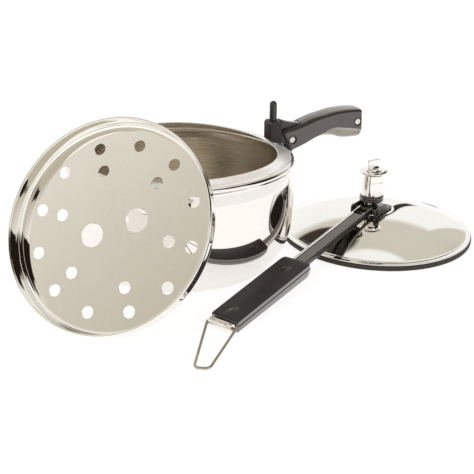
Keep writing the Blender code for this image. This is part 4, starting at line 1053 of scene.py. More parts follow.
        # The hole is turned a little, so that none of its corners falls on an edge of the block
        hole = rod(radius + FIT_GAP, low - FIT_GAP, 0.12, 60).placed(axis @ turn_z(2.0))
        # The rim block is coloured in the painted shade of the mouldings
        self.make("rim_block_moulding", [block], [SHADED_BAKELITE], "bakelite", "rim_block", [hole])
        dome = arc((0, crown), radius, 0, 90, 14)[1:]
        post = revolve(np.concatenate([[(0, low), (radius, low), (radius, crown)], dome]), SMALL_STEPS)
        self.make("fulcrum_post_coated", [post.placed(axis)], [BLACK_STEEL], "black_steel", "fulcrum_post")


# The lid


@dataclass
class Lid(SubAssembly):
    """The domed lid, its gasket, and the hub that carries the vent and the lever."""

    body: ClassVar[str] = "lid"
    x: float = 0.1784
    y: float = 0.0436
    radius: float = 0.0874
    wall: float = 0.0013
    oval: float = 0.0012
    top: float = 0.0236
    flat: float = 0.0170
    rim_height: float = 0.0058
    rim_width: float = 0.0046
    step: float = 0.0012
    overhang: float = 0.0008
    gasket_width: float = 0.0085
    yoke_wall: float = 0.0015
    yoke_back: float = 0.0120
    yoke_front: float = 0.0135
    half_width: float = 0.0125
    pin_reach: float = 0.0200
    pin_rise: float = 0.0036
    pin_radius: float = 0.0014
    pin_head: float = 0.0025
    pin_head_height: float = 0.0011
    ear: float = 0.0042
    vent: tuple[float, float] = (0.0028, -0.0037)
    vent_hole: float = 0.0043
    vent_bore: float = 0.0012
    vent_foot: float = 0.0040
    vent_flange: float = 0.0070
    vent_stem: float = 0.0047
    vent_nozzle: float = 0.0026
    valve_reach: float = 0.0430
    valve_hole: float = 0.0031
    valve_bore: float = 0.0014
    valve_stem: float = 0.0028
    valve_head: float = 0.0040

    def place(self) -> Matrix:
        """The lid's place: on the floor under its middle, X along the lever."""
        return move(self.x, self.y, 0) @ turn_z(LEVER_AZIMUTH)

    def vent_place(self) -> Matrix:
        """The vent's place, straight over the floor."""
        return self.place() @ move(*self.vent, 0)

    def pin_height(self) -> float:
        """The height of the lever's pin."""
        return self.top + FIT_GAP + self.yoke_wall + self.pin_rise

    def dome(self, radius: np.ndarray) -> np.ndarray:
        """The dome's height: flat in the middle, then 22 parts linear and 78 parts square fall.

        Args:
            radius: distances from the axis.

        Returns:
            The heights.
        """
        run = np.clip((radius - self.flat) / (self.radius - self.rim_width - self.flat), 0, None)
        return self.top - (self.top - self.rim_height - self.step) * (0.22 * run + 0.78 * run**2)

    def ovaled(self, surface: Surface) -> Surface:
        """Draw a turned surface in along the lever and out across it.

        Args:
            surface: the surface about the lid's axis.

        Returns:
            The oval surface.
        """
        x, y, z = surface.points.T
        radius = np.maximum(np.hypot(x, y), 1e-9)
        share = np.clip((radius - self.flat) / (self.radius - self.flat), 0, None)
        scale = 1 - self.oval * share * np.cos(2 * np.arctan2(y, x)) / radius
        return Surface(np.stack([x * scale, y * scale, z], axis=1), surface.faces, surface.slots)

    def valve_place(self) -> Matrix:
        """The safety valve's place: on the dome, square to it."""
        step = 0.001
        before, height, after = self.dome(self.valve_reach + np.array([-step, 0, step])).tolist()
        tilt = Matrix.Rotation(-math.atan((after - before) / (2 * step)), 4, "Y")
        return self.place() @ move(self.valve_reach, 0, height) @ tilt

    def build(self) -> None:
        """Build the dome with its stepped rim, then the gasket, the yoke, the vent tube and the valve."""
        step, top, side = self.radius - self.rim_width, self.rim_height, self.radius
        radii = np.concatenate([np.linspace(0, self.flat, 8), np.linspace(self.flat, step, 60)[1:]])
        line = np.stack([radii, self.dome(radii)], axis=1)
        flange = rounded([(*line[-1], 0), (step + 0.0003, top, 0.0006), (side, top - 0.0001, 0.0005),
                          (side, top - 0.0009, 0)], 6, closed=False)
        under = np.array([(side, top - self.wall + 0.0005), (side - 0.0003, top - self.wall + 0.0001)])
        profile = np.concatenate([line, flange[1:], under, offset(line, -self.wall)[::-1]])
        shell = self.ovaled(revolve(profile, SHEET_STEPS)).placed(self.place())
        tools = [rod(self.vent_hole, 0.0, 0.05, BORE_STEPS).placed(self.vent_place()),
                 rod(self.valve_hole, -0.01, 0.01, BORE_STEPS).placed(self.valve_place())]
        self.make("lid_dome_polished", [shell], [BRIGHT_SHEET], "mirror_steel", "lid_shell", tools)
        self.gasket()
        self.yoke()
        self.vent_tube()
        self.valve()

    def gasket(self) -> None:
        """Build the rubber ring under the flange, with a round nose and a groove round it."""
        outer = self.radius + self.overhang
        inner = outer - self.gasket_width
        top = self.rim_height - self.wall - FIT_GAP
        line = rounded([
            (inner, 0.0, 0.0012), (outer, 0.0, 0.0012), (outer, top * 0.5, 0.0002),
            (outer - 0.0004, top * 0.56, 0.0002), (outer, top * 0.62, 0.0002), (outer, top, 0.0006),
            (inner, top, 0.0009),
        ], 6)
        ring = self.ovaled(revolve(line, SHEET_STEPS, ring=True)).placed(self.place())
        self.make("gasket_moulding", [ring], [RUBBER], "rubber", "gasket")

    def yoke(self) -> None:
        """Build the black yoke, a base plate with two cheeks, and the pin that they hold."""
        low, width, front = self.top + FIT_GAP, self.half_width, self.yoke_front
        base = rounded([(-self.yoke_back, -width, 0.005), (front, -width, 0.0008), (front, width, 0.0008),
                        (-self.yoke_back, width, 0.005)], 8)
        top = self.pin_height() + self.ear - 0.0012
        nose = self.pin_reach + self.ear + self.yoke_wall
        cheek = rounded([(0.001, low + 0.0001, 0.0004), (nose, low + 0.0008, 0.002), (nose, top, 0.003),
                         (0.003, top, 0.0021)], 8)
        parts = [slab(base, low, low + self.yoke_wall, 0.0003)]
        for start in (-width, width - self.yoke_wall):
            parts.append(upright(slab(cheek, start, start + self.yoke_wall, 0.0003)))
        parts = [part.placed(self.place()) for part in parts]
        self.make("hub_yoke_coated", parts, [BLACK_STEEL], "black_steel", "hub_yoke")
        face, head, pin = width + FIT_GAP, self.pin_head, self.pin_radius
        end = face + self.pin_head_height
        line = rounded([
            (0, -end, 0), (head, -end, 0.0006), (head, -face, 0.0002), (pin, -face, 0),
            (pin, face, 0), (head, face, 0.0002), (head, end, 0.0006), (0, end, 0),
        ], 5)
        rivet = revolve(line, 40).placed(self.place() @ crosswise(self.pin_reach, self.pin_height()))
        self.make("pivot_pin_coated", [rivet], [BLACK_STEEL], "plated_steel", "pivot_pin")

    def vent_tube(self) -> None:
        """Build the turned vent tube with its flange, stem and nozzle."""
        seat = self.top + 2 * FIT_GAP + self.yoke_wall
        low, high, neck = self.top - 0.0088, seat + 0.0024, Weight().seat - FIT_GAP
        tip = neck + 0.0160
        line = rounded([
            (self.vent_bore, low, 0), (self.vent_foot, low, 0.0003), (self.vent_foot, seat, 0),
            (self.vent_flange, seat, 0.0002), (self.vent_flange, high, 0.0007),
            (self.vent_stem, high, 0.0004), (self.vent_stem, neck, 0.0006), (self.vent_nozzle, neck, 0.0004),
            (self.vent_nozzle, tip - 0.0028, 0.0005), (self.vent_bore + 0.0004, tip, 0.0001),
            (self.vent_bore, tip, 0),
        ], 5)
        tube_skin = revolve(line, SMALL_STEPS, ring=True).placed(self.vent_place())
        self.make("vent_tube_turned", [tube_skin], [BLACK_STEEL], "satin_steel", "vent_tube")
        self.shop.keep("vent_nut", NICKEL)

    def valve(self) -> None:
        """Build the brass safety valve under the lever bar."""
        bore, stem, head, low, high = self.valve_bore, self.valve_stem, self.valve_head, -0.0070, 0.0034
        line = rounded([(bore, low, 0), (stem, low, 0.0003), (stem, FIT_GAP, 0), (head, FIT_GAP, 0.0002),
                        (head, high, 0.0006), (bore, high, 0)], 5)
        skin = revolve(line, BORE_STEPS, ring=True).placed(self.valve_place())
        self.make("valve_body_turned", [skin], [BRASS], "brass", "valve_body")
        self.shop.keep("valve_plug", SOFT_ALLOY)
        self.shop.keep("valve_nut", BRASS)


LID = Lid()


@dataclass
class Weight(SubAssembly):
    """The vent weight: a turned body, the black ring round its foot and the lifting tab."""

    body: ClassVar[str] = "weight"
    seat: float = 0.0287
    nose: float = 0.0060
    nose_height: float = 0.0038
    bore: float = 0.0031
    bore_depth: float = 0.0160
    ring: float = 0.0112
    ring_wall: float = 0.0024
    ring_height: float = 0.0048
    groove: float = 0.0004
    barrel: float = 0.0100
    barrel_height: float = 0.0224
    flange: float = 0.0130
    flange_height: float = 0.0014
    boss: float = 0.0072
    boss_height: float = 0.0010
    tab_half: float = 0.0071
    tab_height: float = 0.0092
    tab_wall: float = 0.0011
    tab_turn: float = -21.0

    def build(self) -> None:
        """Build the body, the ring and the tab."""
        place = LID.vent_place()
        low, nose_top = self.seat, self.seat + self.nose_height
        ring_top = nose_top + self.ring_height
        top = ring_top + self.barrel_height
        rim_top = top + self.flange_height
        boss_top = rim_top + self.boss_height
        band = top - self.barrel_height * 0.38
        ring_bore = self.ring - self.ring_wall
        waist, slim, bore_top = ring_bore - FIT_GAP, self.barrel - 0.0003, low + self.bore_depth + FIT_GAP
        line = rounded([
            (0, bore_top + 0.0015, 0), (self.bore, bore_top, 0), (self.bore, low, 0.0003),
            (self.nose, low, 0.0006), (self.nose, nose_top, 0.0002), (waist, nose_top, 0),
            (waist, ring_top + FIT_GAP, 0.0002), (self.barrel, ring_top + FIT_GAP, 0.0007),
            (self.barrel, band, 0.0002), (slim, band + 0.0002, 0.0002), (slim, top - 0.0012, 0.0016),
            (self.flange - 0.0012, top, 0.0004), (self.flange, top + 0.0003, 0.0003),
            (self.flange, rim_top, 0.0005), (self.boss + 0.0008, rim_top, 0.0004),
            (self.boss, boss_top, 0.0004), (0, boss_top, 0),
        ], 6)
        skin = revolve(line, WEIGHT_STEPS).placed(place)
        self.make("weight_body_turned", [skin], [POLISHED], "mirror_steel", "weight_body")
        outer, foot = self.ring, nose_top - FIT_GAP / 2
        step, inset = (ring_top - foot) / 3, outer - self.groove
        line = rounded([
            (ring_bore, foot, 0), (outer, foot, 0.0008), (outer, foot + step * 0.85, 0.0002),
            (inset, foot + step, 0.0002), (inset, foot + step * 1.9, 0.0002),
            (outer, foot + step * 2.05, 0.0002), (outer, ring_top, 0.0008), (ring_bore, ring_top, 0),
        ], 5)
        skin = revolve(line, WEIGHT_STEPS, ring=True).placed(place)
        self.make("weight_ring_moulding", [skin], [BAKELITE], "black_steel", "weight_ring")
        half, tab_low = self.tab_half, boss_top + FIT_GAP
        tab_top = tab_low + self.tab_height
        outline = rounded([(-half * 0.86, tab_low, 0), (half * 0.86, tab_low, 0), (half, tab_top, 0.0014),
                           (-half, tab_top, 0.0014)], 7)
        tab = upright(slab(outline, -self.tab_wall, self.tab_wall, 0.0005))
        tab = tab.placed(place @ turn_z(self.tab_turn))
        self.make("weight_tab_pressed", [tab], [POLISHED], "mirror_steel", "weight_tab")


# The lever


@dataclass
class Lever(SubAssembly):
    """The channel bar, the two-part grip, the end clip and the wire loop."""

    body: ClassVar[str] = "lever"
    half_width: float = 0.0066
    sheet: float = 0.0015
    top: float = 0.0023
    depth: float = 0.0053
    length: float = 0.1860
    strip: float = 0.0029
    groove: float = 0.0006
    skin_start: float = 0.0160
    pin_hole: float = 0.0018
    grip_start: float = 0.1140
    grip_length: float = 0.0985
    grip_near: float = 0.0138
    grip_far: float = 0.0130
    cover: float = 0.0024
    seam_drop: float = 0.0022
    depth_near: float = 0.0076
    depth_far: float = 0.0060
    screw: Screw = Screw(0.0017, 0.0003, 0.0041, 0.0005, 0.00055, 0.00035, 56)
    screw_bore: float = 0.0021
    screw_near: float = 0.0180
    screw_far: float = 0.0100
    recess_radius: float = 0.0047
    recess_depth: float = 0.0012
    nut_pocket: float = 0.0040
    nut_height: float = 0.0022
    clip_half: float = 0.0105
    clip_sheet: float = 0.0012
    tongue_half: float = 0.0045
    tongue_length: float = 0.0165
    eye: float = 0.0035
    wire: float = 0.0011
    standoff: float = 0.0040
    # The loop's bends in its own plane, from one end in the eye to the other
    loop_bends: tuple = ((0.0, -0.0015, 0), (0.0, -0.0131, 0.0018), (0.0519, 0.0165, 0.0040),
                         (0.0469, 0.0262, 0.0040), (0.0, 0.0130, 0.0018), (0.0, 0.0015, 0))
    loop_reach: float = 0.0520

    def slope(self) -> float:
        """The angle in radians by which the lever falls from its pin to the floor."""
        reach = self.grip_start + self.grip_length
        down = math.asin(LID.pin_height() / math.hypot(reach, self.depth_far))
        return down - math.atan2(self.depth_far, reach)

    def place(self) -> Matrix:
        """The lever's place: on its pin, X along the bar."""
        pin = LID.place() @ move(LID.pin_reach, 0, LID.pin_height())
        return pin @ Matrix.Rotation(self.slope(), 4, "Y")

    def eye_place(self) -> Matrix:
        """The clip eye's place, its X along the bar."""
        height = self.top - self.sheet - FIT_GAP - self.clip_sheet / 2
        return self.place() @ move(self.grip_start + self.grip_length + self.standoff, 0, height)

    def screw_reaches(self) -> tuple[float, float]:
        """Where the grip's two screws stand."""
        return self.grip_start + self.screw_near, self.grip_start + self.grip_length - self.screw_far

    def underside(self, reach: float) -> float:
        """The height of the grip's underside: it rises evenly from the near end to the far one."""
        share = (reach - self.grip_start) / self.grip_length
        return -(self.depth_near + (self.depth_far - self.depth_near) * share)

    def nut_floor(self, reach: float) -> float:
        """The height of the nut pocket's floor under the grip."""
        return self.underside(reach) + self.nut_height + 2 * FIT_GAP

    def build(self) -> None:
        """Build the bar, the grip, its screws, the clip and the loop."""
        self.bar()
        self.grip()
        self.clip()
        self.loop()

    def bar(self) -> None:
        """Build the bar: a folded channel drawn straight along X, trimmed to its ears and window.

        A strip along one edge, above a shallow groove, is painted pale as a highlight, and the top beyond it
        a lighter grey as a painted sheen.
        """
        place, wide, top, low = self.place(), self.half_width, self.top, self.top - self.depth
        inner, under = wide - self.sheet, top - self.sheet
        ridge, groove = self.strip - wide, self.groove
        section = rounded([
            (-wide, low, 0.0005), (-inner, low, 0.0005), (-inner, under, 0.0006), (inner, under, 0.0006),
            (inner, low, 0.0005), (wide, low, 0.0005), (wide, top, 0.0018), (ridge + 2 * groove, top, 0.0002),
            (ridge + groove, top - groove, 0.0002), (ridge, top, 0.0002), (-wide, top, 0.0007),
        ], 8)
        ear = self.depth - self.top
        run = np.linspace(self.skin_start, self.length, 24)[1:]
        reach = np.concatenate([np.linspace(-2 * ear, self.skin_start, 6), run])
        rows = np.stack([np.concatenate([np.full((len(section), 1), x), section], axis=1) for x in reach])
        skin = lofted(rows)
        band, (y, z) = faces_along(skin, len(rows), len(section)), section.T
        # Painted highlight on the edge strip, and painted sheen on the top beyond the groove
        band[:, (y < ridge + 0.0001) & (z > top - 0.0009)] = 1
        band[:, (y > ridge + 2 * groove - 0.0003) & (z > top - 0.0004)] = 2
        obj = self.shop.raw("lever_bar_coated", [skin.placed(place)], [BLACK_STEEL, EDGE_HIGHLIGHT, TOP_SHEEN_COAT])
        past = 0.001
        ends = [(0.0, low - past), (self.length, low - past), (self.length, top + past), (0.0, top + past)]
        side = np.concatenate([arc((0, 0), ear, 135, 270, 16), ends, [(0.0, top)]])
        carve(obj, [upright(cutter(side, -CLEAR, CLEAR)).placed(place)], keep=True)
        start = self.skin_start
        corners = [(-0.01, -inner, 0), (start, -inner, 0.003), (start, inner, 0.003), (-0.01, inner, 0)]
        window = rounded(corners, 10)
        pin = rod(self.pin_hole, -CLEAR, CLEAR).placed(crosswise(0, 0))
        carve(obj, [tool.placed(place) for tool in (cutter(window, -CLEAR, CLEAR), pin)])
        self.shop.fit(obj, "lever", "black_steel", "lever_bar")

    def moulding(self, upper: bool) -> Surface:
        """One grip moulding: sections along X whose width, height and edges follow the real one.

        The width tapers evenly. The near end rises from the bar over a quarter ellipse, and the far
        end is squared with a small round.

        Args:
            upper: whether it is the top moulding.

        Returns:
            The closed moulding.
        """
        parts = [np.linspace(0, 0.10, 22), np.linspace(0.10, 0.985, 24), np.linspace(0.985, 1, 8)]
        share = np.unique(np.concatenate(parts))
        reach = self.grip_start + self.grip_length * share
        wide = self.grip_near + (self.grip_far - self.grip_near) * share
        near = np.sqrt(np.clip(1 - (1 - np.clip(share / 0.075, 0, 1)) ** 2, 0, 1))
        far = np.sqrt(np.clip(1 - (1 - np.clip((1 - share) / 0.013, 0, 1)) ** 2, 0, 1))
        seam = self.top - self.seam_drop
        rows = []
        for x, w, n, f in zip(reach, wide, near, far):
            width = (w - 0.0004 if upper else w) * (0.86 + 0.14 * n) - 0.0009 * (1 - f)
            if upper:
                low = seam + FIT_GAP
                high = low + (self.top + self.cover - low) * (0.72 + 0.28 * n) - 0.0010 * (1 - f)
                line = rounded([(-width, low, 0.0003), (width, low, 0.0003), (width, high - 0.0004, 0.0014),
                                (0.0, high, 0.03), (-width, high - 0.0004, 0.0014)], 8)
            else:
                low = seam + (self.underside(x) - seam) * (0.45 + 0.55 * n)
                foot, step = width - 0.0008, seam - 0.0024
                line = rounded([
                    (-foot, low, 0.0020), (foot, low, 0.0020), (foot, step, 0.0003),
                    (width, step + 0.0006, 0.0003), (width, seam, 0.0003), (-width, seam, 0.0003),
                    (-width, step + 0.0006, 0.0003), (-foot, step, 0.0003),
                ], 7)
            rows.append(np.concatenate([np.full((len(line), 1), x), line], axis=1))
        skin = lofted(np.array(rows))
        if upper:
            # The upper face between its two rounded edges, coloured with the painted shade
            faces_along(skin, len(rows), len(line))[:, 18:-4] = 1
        return skin

    def grip(self) -> None:
        """Build the grip's two mouldings, cut for the bar, the clip's tongue and the screws."""
        place = self.place()
        slot, tongue = self.half_width + 0.0004, self.tongue_half + 0.0004
        end, face = self.length + 0.0004, self.top + self.cover
        channel = oblong(self.grip_start - 0.01, -slot, end, slot)
        mouth = oblong(end - 0.001, -tongue, self.grip_start + self.grip_length + 0.01, tongue)
        tongue_top = self.top - self.sheet - FIT_GAP
        shared = [
            cutter(channel, self.top - self.depth - FIT_GAP, self.top + FIT_GAP),
            cutter(mouth, tongue_top - self.clip_sheet - FIT_GAP, tongue_top + FIT_GAP),
        ]
        stands = [(reach, move(reach, 0, 0)) for reach in self.screw_reaches()]
        shared += [rod(self.screw_bore, -CLEAR, CLEAR).placed(stand) for _, stand in stands]
        cup = recess(self.recess_radius, face - self.recess_depth, face, 0.0003, 0.0007, face + 0.01)
        for name, upper in (("top", True), ("bottom", False)):
            pockets = [
                cup if upper else cutter(hexagon(self.nut_pocket), -CLEAR, self.nut_floor(reach))
                for reach, _ in stands
            ]
            tools = shared + [pocket.placed(stand) for pocket, (_, stand) in zip(pockets, stands)]
            # Painted sheen over the grip's sides and ends, painted shade on its upper face
            self.make(f"grip_{name}_moulding", [self.moulding(upper).placed(place)],
                      [SHEEN_BAKELITE, SHADED_BAKELITE], "bakelite", f"grip_{name}",
                      [tool.placed(place) for tool in tools])
        head = face - self.recess_depth + FIT_GAP
        for node, (reach, stand) in zip(("inner", "outer"), stands):
            low = self.nut_floor(reach) - FIT_GAP - self.nut_height
            self.make(f"grip_screw_{node}_coated", [self.screw.solid(low, head).placed(place @ stand)],
                      [BLACK_STEEL], "plated_steel", f"grip_screw_{node}",
                      [self.screw.slot(head).placed(place @ stand)])
            self.shop.keep(f"grip_nut_{node}", NICKEL)

    def clip(self) -> None:
        """Build the end clip: a tongue under the bar whose sheet is rolled into an eye."""
        eye, half, bore, sheet = self.eye_place(), self.clip_half, self.wire + 0.0004, self.clip_sheet / 2
        line = rounded([(bore, -half, 0.0002), (self.eye, -half, 0.0004), (self.eye, half, 0.0004),
                        (bore, half, 0.0002)], 5)
        roll = revolve(line, BORE_STEPS, ring=True).placed(eye @ Matrix.Rotation(QUARTER, 4, "X"))
        outline = oblong(-self.standoff - self.tongue_length, -self.tongue_half,
                         sheet - self.eye, self.tongue_half)
        tongue = slab(outline, -sheet, sheet, 0.0001, 3).placed(eye)
        self.make("end_clip_rolled", [roll, tongue], [POLISHED], "mirror_steel", "end_clip")

    def loop(self) -> None:
        """Build the lopsided wire loop, its far end on the floor."""
        eye = self.eye_place()
        rise = eye.to_translation().z - self.wire - FIT_GAP / 10
        fall = math.asin(rise / self.loop_reach) - self.slope()
        path = resampled(rounded(self.loop_bends, 14, closed=False), 0.0015)
        wire = tube(path, self.wire).placed(eye @ Matrix.Rotation(fall, 4, "Y"))
        self.make("wire_loop_drawn", [wire], [DRAWN_WIRE], "mirror_steel", "wire_loop", body="locking_loop")


# The steam plate


@dataclass
class SteamPlate(SubAssembly):
    """The perforated dish that stands on the floor and leans on the pot's collar."""

    body: ClassVar[str] = "plate"
    wall: float = 0.0008
    radius: float = 0.0832
    height: float = 0.0142
    flat: float = 0.0775
    bead: float = 0.0010
    hole: float = 0.0047
    outer_ring: float = 0.0655
    outer_holes: int = 12
    inner_ring: float = 0.0469
    inner_holes: int = 6
    finger_ring: float = 0.0188
    finger: float = 0.0091
    broken_edge: float = 0.00012
    azimuth: float = -113.0
    place_azimuth: float = -112.5
    lean: float = 34.55
    roll: float = 116.4

    def lower_path(self) -> np.ndarray:
        """The outline under the dish as the solid has it, for working out where it rests.

        Returns:
            The (radius, height) points.
        """
        wall, high = self.radius - self.bead, self.height
        bend = wall - self.flat
        turn = arc((self.flat, bend - self.wall), bend, -90, 0, 4)
        rim = [(wall, high - 3 * self.bead), (self.radius, high - 2 * self.bead), (self.radius, high)]
        return np.concatenate([turn, rim])

    def place(self) -> Matrix:
        """The plate's place, worked out from where it touches the floor and the collar.

        Returns:
            The place of its middle, Z out of the dish.
        """
        lean, spot = math.radians(self.lean), math.radians(self.place_azimuth)
        turn = turn_z(self.azimuth) @ Matrix.Rotation(QUARTER - lean, 4, "Y")
        path = self.lower_path()
        lowest = float(np.max(path[:, 0] * math.cos(lean) - path[:, 1] * math.sin(lean)))
        drop = POT.dip * math.cos(2 * (spot - math.radians(HANDLE_AZIMUTH)))
        edge = (POT.collar_radius - POT.collar_edge) * math.cos(lean)
        edge += (POT.collar - POT.collar_edge - drop) * math.sin(lean) + POT.collar_edge
        out = (edge + FIT_GAP + self.wall - lowest * math.sin(lean)) / math.cos(lean)
        center = Vector((out * math.cos(spot), out * math.sin(spot), lowest))
        return Matrix.Translation(center) @ turn @ turn_z(self.roll)

    def build(self) -> None:
        """Build the dish as a turned sheet with a rolled bead, then cut its holes one by one."""
        place = self.place()
        wall, bend = self.radius - self.bead, self.radius - self.bead - self.flat
        side = np.array([(wall, bend - self.wall), (wall, self.height - 2.6 * self.bead)])
        under = np.concatenate([
            [(self.flat - 0.0006, -self.wall)],
            arc((self.flat, bend - self.wall), bend, -90, 0, 16),
            resampled(side, 0.003)[1:],
        ])
        roll = arc((wall, self.height - self.bead), self.bead, -70, 190, 22)
        profile = np.concatenate([under, roll, offset(under, self.wall)[::-1]])
        dish = lofted(spun(profile, SHEET_STEPS))
        obj = self.shop.raw("steam_plate_pressed", [dish.placed(place)], [BRIGHT_SHEET])
        for tool in self.punches():
            carve(obj, [tool.placed(place)])
        self.shop.fit(obj, "plate", "mirror_steel", "steam_plate")

    def punches(self) -> list[Surface]:
        """The tools that cut the holes, each leaving a slightly broken edge.

        Returns:
            One tool for each hole, about the plate's axis.
        """
        spots = [(self.finger_ring, angle, self.finger) for angle in (0.0, 180.0)]
        rings = ((self.outer_ring, self.outer_holes, 0), (self.inner_ring, self.inner_holes, 0.5))
        for ring, count, shift in rings:
            spots += [(ring, (i + shift) * 360 / count, self.hole) for i in range(count)]
        edge, deep, high = self.broken_edge, 0.004, 0.003
        tools = []
        for ring, angle, radius in spots:
            line = [(0, -deep), (radius + edge + deep - self.wall, -deep), (radius, -self.wall + edge),
                    (radius, -edge), (radius + edge + high, high), (0, high)]
            a = math.radians(angle)
            spot = move(ring * math.cos(a), ring * math.sin(a), 0)
            tools.append(revolve(np.array(line), SMALL_STEPS).placed(spot))
        return tools


# The studio


def bearing(azimuth: float, elevation: float) -> tuple[float, float, float]:
    """The unit direction at an azimuth from X and an elevation above the floor, in degrees."""
    a, e = math.radians(azimuth), math.radians(elevation)
    return (math.cos(e) * math.cos(a), math.cos(e) * math.sin(a), math.sin(e))


@dataclass(frozen=True)
class Zone:
    """A part of the surroundings: inside it each direction is faced from a start to an end."""

    color: str
    limits: tuple


# The parts of the room that mirrors show, each laid over the ones before it. A limit is a direction
# and two cosines: the zone fades in from the first to the second.
UP, SHADED_SIDE, BACK = (0.0, 0.0, 1.0), bearing(-30, 0), bearing(60, 0)
ARM = bearing(-18, 10)
ZONES = (
    # The plain upper wall, a shade greyer than the lights below and above it
    Zone("D5D0C5", ((UP, 0.50, 0.60), (UP, 0.925, 0.895), (BACK, -0.30, 0.10))),
    # The shaded wall on the right of it, and the dark lamp arm along its edge
    Zone("D5D0C5", ((SHADED_SIDE, 0.0, 0.03), (BACK, 0.62, 0.75), (UP, 0.10, 0.25), (UP, 0.62, 0.58))),
    Zone("A6A197", ((SHADED_SIDE, 0.10, 0.38), (BACK, 0.62, 0.75), (UP, 0.10, 0.25), (UP, 0.70, 0.50))),
    Zone("3A332D", ((ARM, -0.022, -0.012), (ARM, 0.022, 0.012), (UP, 0.05, 0.12), (UP, 0.64, 0.58),
                    (bearing(76, 15), 0.75, 0.80))),
    # The left wall, and the darker room in front
    Zone("EFEBE2", ((bearing(-170, 35), 0.40, 0.90),)),
    Zone("CBC4B6", ((bearing(-110, 18), 0.62, 0.87),)),
    # The unlit ceiling over the viewer, and the stand beneath it
    Zone("221B15", ((UP, 0.735, 0.750), (UP, 0.958, 0.940), (bearing(-68, 0), 0.18, 0.22))),
    Zone("221B15", ((bearing(-22, 46), 0.965, 0.975),)),
    Zone("221B15", ((bearing(-78, 24), 0.9945, 0.9965),)),
    Zone("221B15", ((bearing(-105, 32), 0.9965, 0.9980),)),
    # The open door on the right, and the gap between the lights at the back
    Zone("231E1A", ((bearing(8, 30), 0.905, 0.945),)),
    Zone("3F3832", ((bearing(112, 51), 0.966, 0.978),)),
)


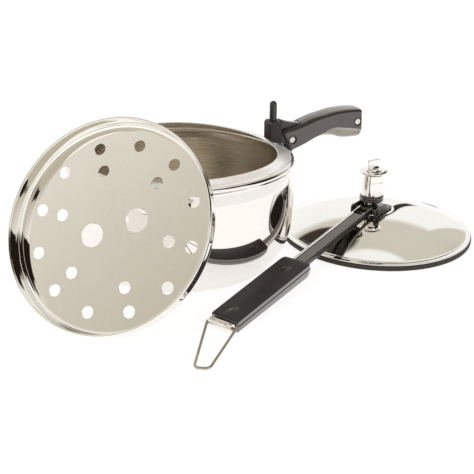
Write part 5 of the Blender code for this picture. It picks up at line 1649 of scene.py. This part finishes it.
@dataclass
class Studio(SubAssembly):
    """The floor, the surrounding light, the lamps and the camera."""

    eye: tuple[float, float, float] = (0.0482, -0.6622, 0.2999)
    tilt: float = 66.58
    lens: float = 61.23
    floor_half: float = 3.0
    floor_drop: float = 0.0004
    # Each lamp: its name, place, size and power
    lamps: tuple = (("key", (-0.9, -0.7, 1.5), 1.2, 16.0), ("fill", (1.3, -0.5, 1.1), 1.0, 6.0))
    aim: tuple[float, float, float] = (0.05, 0.0, 0.03)

    def build(self) -> None:
        """Set up everything that isn't part of the object."""
        self.camera()
        self.floor()
        self.world()
        self.light()
        LOG.info("studio ready, %d pieces made", self.shop.count)

    def camera(self) -> None:
        """Stand the camera at the photograph's place, with its lens."""
        data = bpy.data.cameras.new("camera")
        data.sensor_width = 36.0
        data.lens = self.lens
        data.clip_start = 0.02
        obj = bpy.data.objects.new("camera", data)
        obj.location = self.eye
        obj.rotation_euler = (math.radians(self.tilt), 0.0, 0.0)
        bpy.context.scene.collection.objects.link(obj)
        bpy.context.scene.camera = obj

    def rays(self, tree: bpy.types.NodeTree, path: bpy.types.bpy_prop_collection,
             *kinds: str) -> bpy.types.NodeSocket:
        """One where a ray is of any of the named kinds, else nought.

        Args:
            tree: the node tree.
            path: the outputs of its Light Path node.
            kinds: the names of the outputs to add up.

        Returns:
            The socket.
        """
        total = path[kinds[0]]
        for kind in kinds[1:]:
            both, last = {0: total, 1: path[kind]}, kind == kinds[-1]
            total = add_node(tree, "ShaderNodeMath", both, operation="ADD", use_clamp=last).outputs[0]
        return total

    def floor(self) -> None:
        """Lay a plain white floor: as seen it adds a steady glow, so that its shadows stay faint."""
        half = self.floor_half
        mesh = bpy.data.meshes.new("floor")
        corners = [(x, y, -self.floor_drop) for x, y in oblong(-half, -half, half, half).tolist()]
        mesh.from_pydata(corners, [], [(0, 1, 2, 3)])
        obj = bpy.data.objects.new("floor", mesh)
        bpy.context.scene.collection.objects.link(obj)
        mat = bpy.data.materials.new("matt_white_sweep")
        mat.use_nodes = True
        tree = mat.node_tree
        tree.nodes.clear()
        path = add_node(tree, "ShaderNodeLightPath").outputs
        seen = self.rays(tree, path, "Is Camera Ray", "Is Glossy Ray", "Is Transmission Ray")
        plain = add_node(tree, "ShaderNodeBsdfDiffuse", {"Color": linear("EAE8E6")})
        faint = add_node(tree, "ShaderNodeBsdfDiffuse", {"Color": linear("8F8D8B")})
        glow = add_node(tree, "ShaderNodeEmission", {"Color": linear("FFFFFF"), "Strength": 0.84})
        shown = add_node(tree, "ShaderNodeAddShader", {0: faint.outputs[0], 1: glow.outputs[0]})
        mixed = add_node(tree, "ShaderNodeMixShader", {0: seen, 1: plain.outputs[0], 2: shown.outputs[0]})
        add_node(tree, "ShaderNodeOutputMaterial", {0: mixed.outputs[0]})
        mesh.materials.append(mat)

    def world(self) -> None:
        """Set the surroundings: white to the camera, an even pale light, and the room to mirrors."""
        world = bpy.data.worlds.new("studio")
        bpy.context.scene.world = world
        world.use_nodes = True
        tree = world.node_tree
        tree.nodes.clear()
        path = add_node(tree, "ShaderNodeLightPath").outputs
        place = add_node(tree, "ShaderNodeTexCoord").outputs["Generated"]
        white = linear("FFFFFF")
        tone = white
        for zone in ZONES:
            share = None
            for direction, start, end in zone.limits:
                pair = {0: place, 1: direction}
                facing = add_node(tree, "ShaderNodeVectorMath", pair, operation="DOT_PRODUCT")
                fade = {"Value": facing.outputs["Value"], "From Min": start, "From Max": end}
                step = add_node(tree, "ShaderNodeMapRange", fade, interpolation_type="SMOOTHSTEP")
                inside = step.outputs["Result"]
                if share is None:
                    share = inside
                    continue
                product = add_node(tree, "ShaderNodeMath", {0: share, 1: inside}, operation="MULTIPLY")
                share = product.outputs[0]
            colors = {"Factor": share, 6: tone, 7: linear(zone.color)}
            tone = add_node(tree, "ShaderNodeMix", colors, data_type="RGBA").outputs[2]
        mirror = add_node(tree, "ShaderNodeBackground", {"Color": tone, "Strength": 1.0})
        light = add_node(tree, "ShaderNodeBackground", {"Color": linear("FFFDFA"), "Strength": 0.62})
        seen = add_node(tree, "ShaderNodeBackground", {"Color": white, "Strength": 1.0})
        straight = self.rays(tree, path, "Is Camera Ray", "Is Transmission Ray")
        sides = {0: path["Is Glossy Ray"], 1: light.outputs[0], 2: mirror.outputs[0]}
        first = add_node(tree, "ShaderNodeMixShader", sides)
        both = add_node(tree, "ShaderNodeMixShader", {0: straight, 1: first.outputs[0], 2: seen.outputs[0]})
        add_node(tree, "ShaderNodeOutputWorld", {0: both.outputs[0]})

    def light(self) -> None:
        """Hang a large soft key lamp over the left and a weaker fill on the right."""
        for name, spot, size, power in self.lamps:
            data = bpy.data.lights.new(name, "AREA")
            data.size = size
            data.energy = power
            obj = bpy.data.objects.new(name, data)
            obj.location = spot
            obj.rotation_euler = (Vector(self.aim) - Vector(spot)).to_track_quat("-Z", "Y").to_euler()
            obj.visible_glossy = False
            bpy.context.scene.collection.objects.link(obj)


def main() -> None:
    """Build every sub-assembly in order, and note the size of the result."""
    logging.basicConfig(level=logging.INFO, format="%(message)s")
    bpy.context.scene.view_settings.view_transform = "Standard"
    for part in (POT, PotHandle(), LID, Weight(), Lever(), SteamPlate(), Studio()):
        part.build()


if __name__ == "__main__":
    main()
